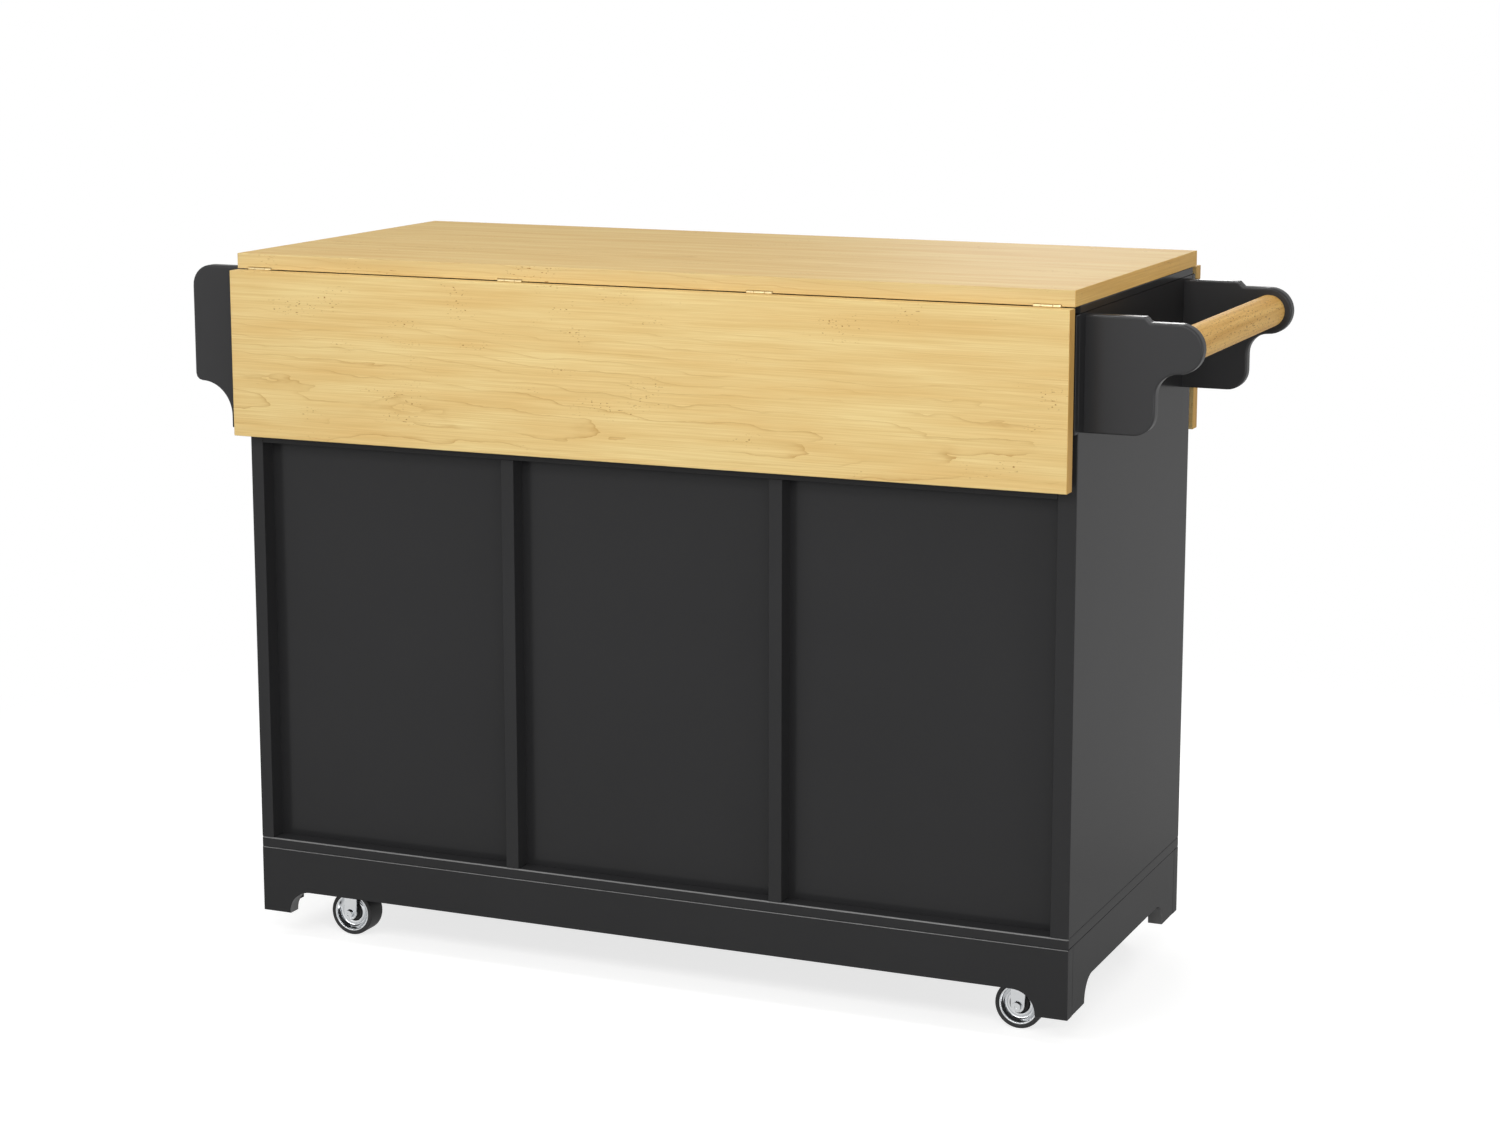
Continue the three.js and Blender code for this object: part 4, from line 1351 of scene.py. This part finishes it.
@dataclass
class SpiceRack:
    """The spice rack at the left end: two shaped ends, a shelf and a guard rail."""

    foot_reach: float = 43.0  # how far the foot of an end board stands out
    throat_radius: float = 45.0
    outer_foot: float = 756.5  # height of the underside further out
    outer_radius: float = 10.0
    top_radius: float = 28.0
    edge: float = 3.0
    board_edge: float = 1.2
    rail_edge: float = 4.0

    def build(self, cabinet: Cabinet) -> None:
        """Builds the ends, the shelf and the rail.

        Args:
            cabinet: The cabinet that carries them.
        """
        wall = cabinet.left
        inside = wall + 2 * self.edge
        # The rack's ends, shelf and rail take the lighter lacquer: painted light.
        for name in ("back", "front"):
            node = f"spice_rack_end_{name}"
            low, high = node_box(node)
            corners = [
                (inside, low.z, 0), (wall - self.foot_reach, low.z, 0),
                (wall - self.foot_reach, self.outer_foot, self.throat_radius),
                (low.x, self.outer_foot, self.outer_radius), (low.x, high.z, self.top_radius),
                (inside, high.z, 0),
            ]
            made = Shape.plate(corners, (low.y, high.y), self.edge, steps=4).trim((wall, 0, 0), (1, 0, 0))
            add_piece(made, f"{node}_board", ROOT, LIT_RACK_LACQUER, replaces=(node,))
        add_board("spice_rack_shelf", LIT_RACK_LACQUER, self.board_edge)
        add_board("spice_rack_guard_rail", LIT_RACK_LACQUER, self.rail_edge)


# ---------------------------------------------------------------- doors and drawers


@dataclass
class Front:
    """A front of one board, with its middle sunk to leave a raised frame, and a turned knob."""

    frame_width: float = 50.0
    panel_depth: float = 5.0
    slope: float = 3.0
    edge: float = 1.5
    # The knob's radius and reach at each point, as shares of its own.
    knob_profile: tuple[Span, ...] = (
        (0, 0), (0.53, 0), (0.53, 0.05), (0.4, 0.12), (0.35, 0.3), (0.37, 0.45), (0.5, 0.58), (0.78, 0.68),
        (0.95, 0.76), (1.0, 0.84), (0.97, 0.91), (0.85, 0.96), (0.6, 0.985), (0.3, 1.0), (0, 1.0),
    )

    def board(self, low: Corner, high: Corner) -> Shape:
        """Makes the front between two corners; its outer face is the one towards +Y.

        Args:
            low: The lowest corner.
            high: The highest corner.

        Returns:
            The front.
        """
        shape = Shape.block(low, high, self.edge, steps=3)
        shape.mesh.normal_update()
        face = max((f for f in shape.mesh.faces if f.normal.y > 0.99), key=lambda f: f.calc_area())
        for thickness, depth in ((self.frame_width - self.edge, 0.0), (self.slope, -self.panel_depth)):
            bmesh.ops.inset_region(
                shape.mesh, faces=[face], thickness=thickness, depth=depth, use_even_offset=True
            )
        return shape

    def knob(self, node: str, body: str) -> None:
        """Builds the knob that stands for a node.

        Args:
            node: The frame's knob.
            body: The body it moves with.
        """
        low, high = node_box(node)
        middle = (low + high) / 2
        reach, radius = high.y - low.y, (high.z - low.z) / 2
        profile = [(share * radius, height * reach) for share, height in self.knob_profile]
        made = Shape.turned(profile, (middle.x, low.y, middle.z), Axis.Y)
        add_piece(made, f"{node}_turned", body, NICKEL, replaces=(node,))


@dataclass
class DoorHinge:
    """A slim butt hinge between a side panel and a door: a fixed half, a moving half and their knuckles."""

    height: float = 64.0
    inset: float = 70.0  # from the door's foot or top
    radius: float = 3.0
    barrel_edge: float = 0.3
    barrel_gap: float = 0.3  # between the barrel and the door's face
    pin: float = 1.0
    pin_proud: float = 0.8  # at each end of the barrel
    plate: float = 1.2
    plate_edge: float = 0.2
    depth: float = 14.0  # of the wings in the boards
    play: float = 0.4  # between the knuckles
    gap: float = 2.0  # between the panel and the door

    def part(self, axis: Span, face: float, inward: int, start: float, span: Span) -> Shape:
        """Makes one knuckle with the flat wing that is let into a board's edge and reaches out to it.

        Args:
            axis: The barrel's place on X and Y.
            face: The face on X that the wing lies on.
            inward: 1 or -1, from that face to the wing's other one.
            start: The wing's end on Y, in the board.
            span: The knuckle's foot and top.

        Returns:
            The knuckle and its wing.
        """
        xs = sorted((face, face + inward * self.plate))
        low, high = span
        knuckle = Shape.rod((*axis, low), (*axis, high), self.radius, sides=24, soften=self.barrel_edge)
        wing = Shape.block((xs[0], start, low), (xs[1], axis[1], high), self.plate_edge)
        return knuckle.add(wing)

    def build(self, name: str, cabinet: Cabinet, panel_face: float, inward: int, levels: Span) -> None:
        """Builds both halves of a door's two hinges.

        Args:
            name: The door's name.
            cabinet: The cabinet.
            panel_face: The side panel's face on X.
            inward: 1 or -1, from the panel to the door.
            levels: The door's foot and top.
        """
        door_face = panel_face + inward * self.gap
        axis = ((panel_face + door_face) / 2, cabinet.front + self.radius + self.barrel_gap)
        start = cabinet.front - self.depth
        fixed, moving = Shape(), Shape()
        for low in (levels[0] + self.inset, levels[1] - self.inset - self.height):
            third, top = self.height / 3, low + self.height
            for span in ((low, low + third), (low + 2 * third, low + 3 * third)):
                fixed.add(self.part(axis, panel_face, -inward, start, span))
            ends = ((*axis, low - self.pin_proud), (*axis, top + self.pin_proud))
            fixed.add(Shape.rod(*ends, self.pin, sides=16))
            span = (low + third + self.play, low + 2 * third - self.play)
            moving.add(self.part(axis, door_face, inward, start, span))
        add_piece(fixed, f"{name}_hinges_fixed", ROOT, ZINC)
        add_piece(moving, f"{name}_hinges_moving", name, ZINC)


@dataclass
class Door:
    """One of the two doors, with its hinges and its knob."""

    name: str
    bay: Bay
    inward: int  # from the hinges to the free edge, on X
    thickness: float = 16.0
    gap: float = 2.0  # at each side

    def build(self, cabinet: Cabinet) -> None:
        """Builds the door.

        Args:
            cabinet: The cabinet that it closes.
        """
        xs = cabinet.bay(self.bay)
        _, top = node_box("drawer_upper_front")
        foot, _ = node_box("drawer_lower_front")
        front = Front()
        board = front.board(
            (xs[0] + self.gap, cabinet.front - self.thickness, foot.z),
            (xs[1] - self.gap, cabinet.front, top.z),
        )
        add_piece(board, f"{self.name}_board", self.name, LACQUER, replaces=(self.name,))
        front.knob(f"{self.name}_knob", self.name)
        face = xs[0] if self.inward > 0 else xs[1]
        DoorHinge().build(self.name, cabinet, face, self.inward, (foot.z, top.z))


@dataclass
class Drawer:
    """One drawer: its front, its knob, and its box with the runners' moving members."""

    name: str
    wall: float = 12.0
    bottom: float = 6.0
    bottom_lift: float = 8.0  # from the box's foot to the underside of its bottom
    edge: float = 0.8
    runner_space: float = 13.0  # between the box and the divider
    member: Channel = Channel(height=32.2, depth=11.1)

    def build(self, cabinet: Cabinet) -> None:
        """Builds the drawer.

        Args:
            cabinet: The cabinet that it slides in.
        """
        low, high = node_box(f"{self.name}_front")
        front = Front()
        add_piece(
            front.board(low, high), f"{self.name}_front_board", self.name, LACQUER,
            replaces=(f"{self.name}_front",),
        )
        front.knob(f"{self.name}_knob", self.name)

        low, high = node_box(f"{self.name}_box")
        bay = cabinet.bay(Bay.MIDDLE)
        left, right = bay[0] + self.runner_space, bay[1] - self.runner_space
        box = Shape.block((left, low.y, low.z), (right, high.y, high.z), self.edge)
        near, far = (left + self.wall, low.y + self.wall), (right - self.wall, high.y - self.wall)
        underside = low.z + self.bottom_lift
        box.cut(Shape.block((*near, underside + self.bottom), (*far, high.z + PAST)))
        box.cut(Shape.block((*near, low.z - PAST), (*far, underside)))
        add_piece(box, f"{self.name}_box_boards", self.name, MELAMINE, replaces=(f"{self.name}_box",))
        level = (low.z + high.z) / 2
        members = self.member.on_face(left, -1, level, high.y)
        members.add(self.member.on_face(right, 1, level, high.y))
        add_piece(members, f"{self.name}_runner_members", self.name, ZINC)


# ---------------------------------------------------------------- casters


@dataclass
class Caster:
    """A swivel caster: plate and raceway, fork, dished hub and rubber tyre."""

    end: str
    side: str
    top: float  # the foot of the board that it is screwed to
    trail: float = 16.0  # from the swivel axis to the axle
    sheet_edge: float = 0.6
    plate: Span = (32.0, 26.0)  # half its length and half its width
    plate_thickness: float = 2.5
    screw_inset: Span = (6.5, 6.0)
    raceway_radius: float = 18.0
    raceway_height: float = 4.0
    raceway_rounding: Span = (1.5, 1.2)  # of its lower rim, inwards and upwards
    king_pin: float = 4.0
    king_pin_play: float = 0.4
    king_pin_drop: float = 2.4  # from the crown to the foot of its head
    king_pin_head: Span = (7.0, 2.0)  # its radius and height
    crown: Span = (74.1, 77.1)  # its foot and top
    crown_reach: float = 27.0  # from the swivel axis to its end over the wheel
    crown_corner: float = 2.0
    leg_inside: float = 17.5
    leg_outside: float = 20.0
    leg_top: float = 20.0  # its width under the crown
    leg_lap: float = 0.2  # from its top to the crown's
    eye: float = 9.0  # radius of the leg round the axle
    axle: float = 4.0
    axle_sunk: float = 1.0  # in its heads
    head_radius: float = 6.5
    head_height: float = 5.0
    bore: float = 4.3
    rim: float = 25.5  # radius of the hub
    hub_inset: float = 0.5  # from the tyre's sides
    painted_shade_ring: Span = (8.0, 12.5)  # radii of the ring in the hub's dish that is given black rubber as painted shade
    shoulder: float = 2.6  # radius of the tyre's shoulders
    shoulder_steps: int = 6

    @property
    def name(self) -> str:
        """The caster's name in the frame."""
        return f"caster_{self.side}_{self.end}"

    def fixed_parts(self) -> Shape:
        """Makes the plate, the raceway, the king pin and the screws, about the swivel axis.

        Returns:
            The fixed parts.
        """
        half_x, half_y = self.plate
        foot = self.top - self.plate_thickness
        race_foot = foot - self.raceway_height
        made = Shape.block((-half_x, -half_y, foot), (half_x, half_y, self.top), self.sheet_edge)
        inward, upward = self.raceway_rounding
        race = [
            (0, 0), (self.raceway_radius - inward, 0), (self.raceway_radius, upward),
            (self.raceway_radius, self.raceway_height), (0, self.raceway_height),
        ]
        pin_foot = self.crown[0] - self.king_pin_drop
        head_radius, head_height = self.king_pin_head
        made.add(
            Shape.turned(race, (0, 0, race_foot), Axis.Z),
            Shape.rod((0, 0, pin_foot), (0, 0, race_foot), self.king_pin, sides=20),
            Shape.rod((0, 0, pin_foot), (0, 0, pin_foot + head_height), head_radius, sides=6, soften=0.3),
        )
        face_down = Matrix.Rotation(math.pi, 4, "X")
        for x in (-1, 1):
            for y in (-1, 1):
                spot = (x * (half_x - self.screw_inset[0]), y * (half_y - self.screw_inset[1]), foot)
                made.add(Screw().head().moved(Matrix.Translation(spot) @ face_down))
        return made

    def fork(self, height: float) -> Shape:
        """Makes the crown, the legs and the axle with its heads, about the swivel axis.

        Args:
            height: The axle's height.

        Returns:
            The fork.
        """
        low, high = self.crown
        reach, outside, corner = self.crown_reach, self.leg_outside, self.crown_corner
        back_radius = outside - 5 * EASE
        crown = Shape.plate([
            (-outside, -outside, back_radius), (reach, -outside, corner),
            (reach, outside, corner), (-outside, outside, back_radius),
        ], (low, high), self.sheet_edge, steps=2).moved(Matrix.Rotation(QUARTER, 4, "X"))
        crown.cut(Shape.rod((0, 0, low - PAST), (0, 0, high + PAST), self.king_pin + self.king_pin_play))

        eye, eye_radius, leg_end = self.eye, self.eye - EASE, high - self.leg_lap
        leg = [
            (reach - self.leg_top, leg_end, 0), (self.trail - eye, height, 0),
            (self.trail - eye, height - eye, eye_radius), (self.trail + eye, height - eye, eye_radius),
            (self.trail + eye, height, 0), (reach, leg_end, 0),
        ]
        for depth in ((self.leg_inside, outside), (-outside, -self.leg_inside)):
            crown.add(Shape.plate(leg, depth, self.sheet_edge, steps=2))

        radius, proud = self.head_radius, self.head_height
        head = [
            (0, 0.4), (1.4, 0.4), (1.9, 0), (radius, 0), (radius, -1.4), (radius - 1, -proud),
            (2.2, -proud), (1.6, -1.9), (0, -1.9),  # a dimple in the middle of its face
        ]
        for sign in (-1, 1):
            made = Shape.turned(head, (0, 0, 0), Axis.Y, steps=32).moved(Matrix.Scale(-sign, 4, (0, 1, 0)))
            crown.add(made.moved(Matrix.Translation((self.trail, sign * outside, height))))
        end = outside + proud - self.axle_sunk
        return crown.add(Shape.rod((self.trail, -end, height), (self.trail, end, height), self.axle))

    def build_wheel(self, centre: Vector, radius: float, half: float) -> None:
        """Builds the hub and the tyre.

        Args:
            centre: The wheel's middle.
            radius: Radius of its tread.
            half: Half its width.
        """
        wheel = f"wheel_{self.side}_{self.end}"
        flat = half - self.hub_inset
        side = [
            (self.bore, flat), (7.2, flat), (7.8, flat - 0.6),  # boss round the axle
            (8.8, 9.0), (11.4, 8.2), (13.0, 9.6),  # groove that takes the painted shade
            (14.6, 10.4), (16.2, 9.8), (17.8, 8.2), (19.4, 8.6), (21.2, 10.8),  # bright dish
            (22.8, flat - 1.6), (23.6, flat - 0.3), (24.2, flat),  # lip under the tyre
            (self.rim - 0.3, flat), (self.rim, flat - 0.3),
        ]
        hub = Shape.turned(side + [(r, -y) for r, y in reversed(side)], centre, Axis.Y, steps=56)
        # The dish's ring between these radii takes black rubber: painted shade and dark reflection, for the
        # dark that the chrome there reflects.
        hub.mesh.normal_update()
        for face in hub.mesh.faces:
            place = face.calc_center_median() - centre
            face.material_index = int(self.painted_shade_ring[0] < math.hypot(place.x, place.z) < self.painted_shade_ring[1])
        add_piece(hub, f"{self.name}_hub_dished", wheel, CHROME, RUBBER, replaces=(f"{self.name}_hub",))

        bend = self.shoulder
        angles = [step / self.shoulder_steps * QUARTER for step in range(self.shoulder_steps + 1)]
        side = [(self.rim + 0.3, half - 0.4), (self.rim + 0.7, half)]  # bead on the hub
        side += [(radius - bend + bend * math.sin(a), half - bend + bend * math.cos(a)) for a in angles]
        tyre = Shape.turned(side + [(r, -y) for r, y in reversed(side)], centre, Axis.Y, steps=72)
        add_piece(tyre, f"{self.name}_tyre_moulded", wheel, RUBBER, replaces=(f"{self.name}_tyre",))

    def build(self) -> Shape:
        """Builds the turning pieces.

        Returns:
            The fixed pieces, which go with the board that carries them.
        """
        low, high = node_box(f"{self.name}_tyre")
        centre = (low + high) / 2
        swivel = Matrix.Translation((centre.x - self.trail, centre.y, 0))
        add_piece(
            self.fork(centre.z).moved(swivel), f"{self.name}_fork_plated", self.name, CHROME,
            replaces=(f"{self.name}_fork",),
        )
        self.build_wheel(centre, (high.z - low.z) / 2, (high.y - low.y) / 2)
        return self.fixed_parts().moved(swivel)


@dataclass
class Undercarriage:
    """The two boards under the cabinet that carry the casters, and the four casters."""

    rail_foot: float = 84.0
    edge: float = 1.2

    def build(self) -> None:
        """Builds the boards and the casters."""
        for end in ("left", "right"):
            node = f"caster_rail_{end}"
            low, high = node_box(node)
            board = Shape.block((low.x, low.y, self.rail_foot), (high.x, high.y, high.z), self.edge)
            add_piece(board, f"{node}_board", ROOT, MELAMINE, replaces=(node,))
            plates = Shape().add(*(Caster(end, side, self.rail_foot).build() for side in ("back", "front")))
            add_piece(plates, f"caster_plates_{end}", ROOT, ZINC)


# ---------------------------------------------------------------- studio


@dataclass(frozen=True)
class Lamp:
    """A soft lamp that points at the island. The camera doesn't see it."""

    name: str
    place: Corner  # in metres
    size: Span  # its width and height
    power: float  # in watts
    shiny: bool = True  # whether it shows in gloss
    aim: Corner = (0.0, 0.0, 0.5)

    def hang(self) -> None:
        """Hangs the lamp in the scene."""
        light = bpy.data.lights.new(self.name, "AREA")
        light.shape, light.energy = "RECTANGLE", self.power
        light.size, light.size_y = self.size
        lamp = bpy.data.objects.new(self.name, light)
        lamp.location = self.place
        lamp.visible_camera, lamp.visible_glossy = False, self.shiny
        lamp.rotation_euler = (Vector(self.aim) - Vector(self.place)).to_track_quat("-Z", "Y").to_euler()
        bpy.context.scene.collection.objects.link(lamp)


@dataclass
class Studio:
    """The floor, the lamps, the white background and the camera."""

    floor_radius: float = 14.0
    floor_drop: float = 0.2  # below the tyres, in millimetres
    ambient: float = 0.4
    camera_place: Corner = (1.6473, -3.7707, 1.3325)
    camera_yaw: float = 23.3227
    camera_pitch: float = 10.3443
    lens: float = 75.378
    sensor: float = 36.0
    shift: float = -0.03
    lamps: tuple[Lamp, ...] = (
        Lamp("key", (0.0, -1.5, 1.15), (3.0, 0.4), 16.0),
        Lamp("front", (0.0, 1.7, 0.75), (2.6, 0.4), 14.0, shiny=False),
        Lamp("over", (0.0, -0.9, 4.0), (0.8, 0.8), 38.0),
        Lamp("side", (3.8, -1.4, 0.6), (1.6, 1.6), 26.0),
        Lamp("far", (-1.0, 4.8, 1.6), (1.0, 1.0), 32.0),
    )

    def build_floor(self) -> None:
        """Builds the floor, a hair below the tyres."""
        mesh = bmesh.new()
        bmesh.ops.create_circle(mesh, cap_ends=True, radius=self.floor_radius, segments=64)
        bmesh.ops.translate(mesh, verts=mesh.verts[:], vec=(0, 0, -self.floor_drop * MM))
        data = bpy.data.meshes.new("studio_floor")
        mesh.to_mesh(data)
        mesh.free()
        data.materials.append(PaleFloor().material())
        floor = bpy.data.objects.new("studio_floor", data)
        bpy.context.scene.collection.objects.link(floor)

    def build_world(self) -> None:
        """Makes the background white to look at, and a soft even light on the island."""
        world = bpy.data.worlds.new("studio")
        world.use_nodes = True
        tree = world.node_tree
        strength = add_node(tree, "Mix", {0: seen_rays(tree), 2: self.ambient, 3: 1.0}, data_type="FLOAT")
        wire(tree, tree.nodes["Background"], {"Color": (1.0, 1.0, 1.0, 1.0), "Strength": strength})
        bpy.context.scene.world = world

    def build_camera(self) -> None:
        """Sets the camera where the photograph was taken from."""
        data = bpy.data.cameras.new("camera")
        data.lens, data.sensor_width, data.shift_y = self.lens, self.sensor, self.shift
        camera = bpy.data.objects.new("camera", data)
        camera.location = self.camera_place
        camera.rotation_euler = (math.radians(90 - self.camera_pitch), 0.0, math.radians(self.camera_yaw))
        bpy.context.scene.collection.objects.link(camera)
        bpy.context.scene.camera = camera

    def build(self) -> None:
        """Builds the whole studio."""
        self.build_floor()
        for lamp in self.lamps:
            lamp.hang()
        self.build_world()
        self.build_camera()
        bpy.context.scene.view_settings.view_transform = "Standard"


def main() -> None:
    """Builds the island around its frame."""
    logging.basicConfig(level=logging.INFO, format="%(name)s: %(message)s")
    Studio().build()
    cabinet = Cabinet()
    cabinet.build()
    Plinth().build()
    Top().build()
    TowelRack().build(cabinet)
    SpiceRack().build(cabinet)
    Door("door_left", Bay.LEFT, 1).build(cabinet)
    Door("door_right", Bay.RIGHT, -1).build(cabinet)
    Drawer("drawer_lower").build(cabinet)
    Drawer("drawer_upper").build(cabinet)
    Undercarriage().build()


if __name__ == "__main__":
    main()
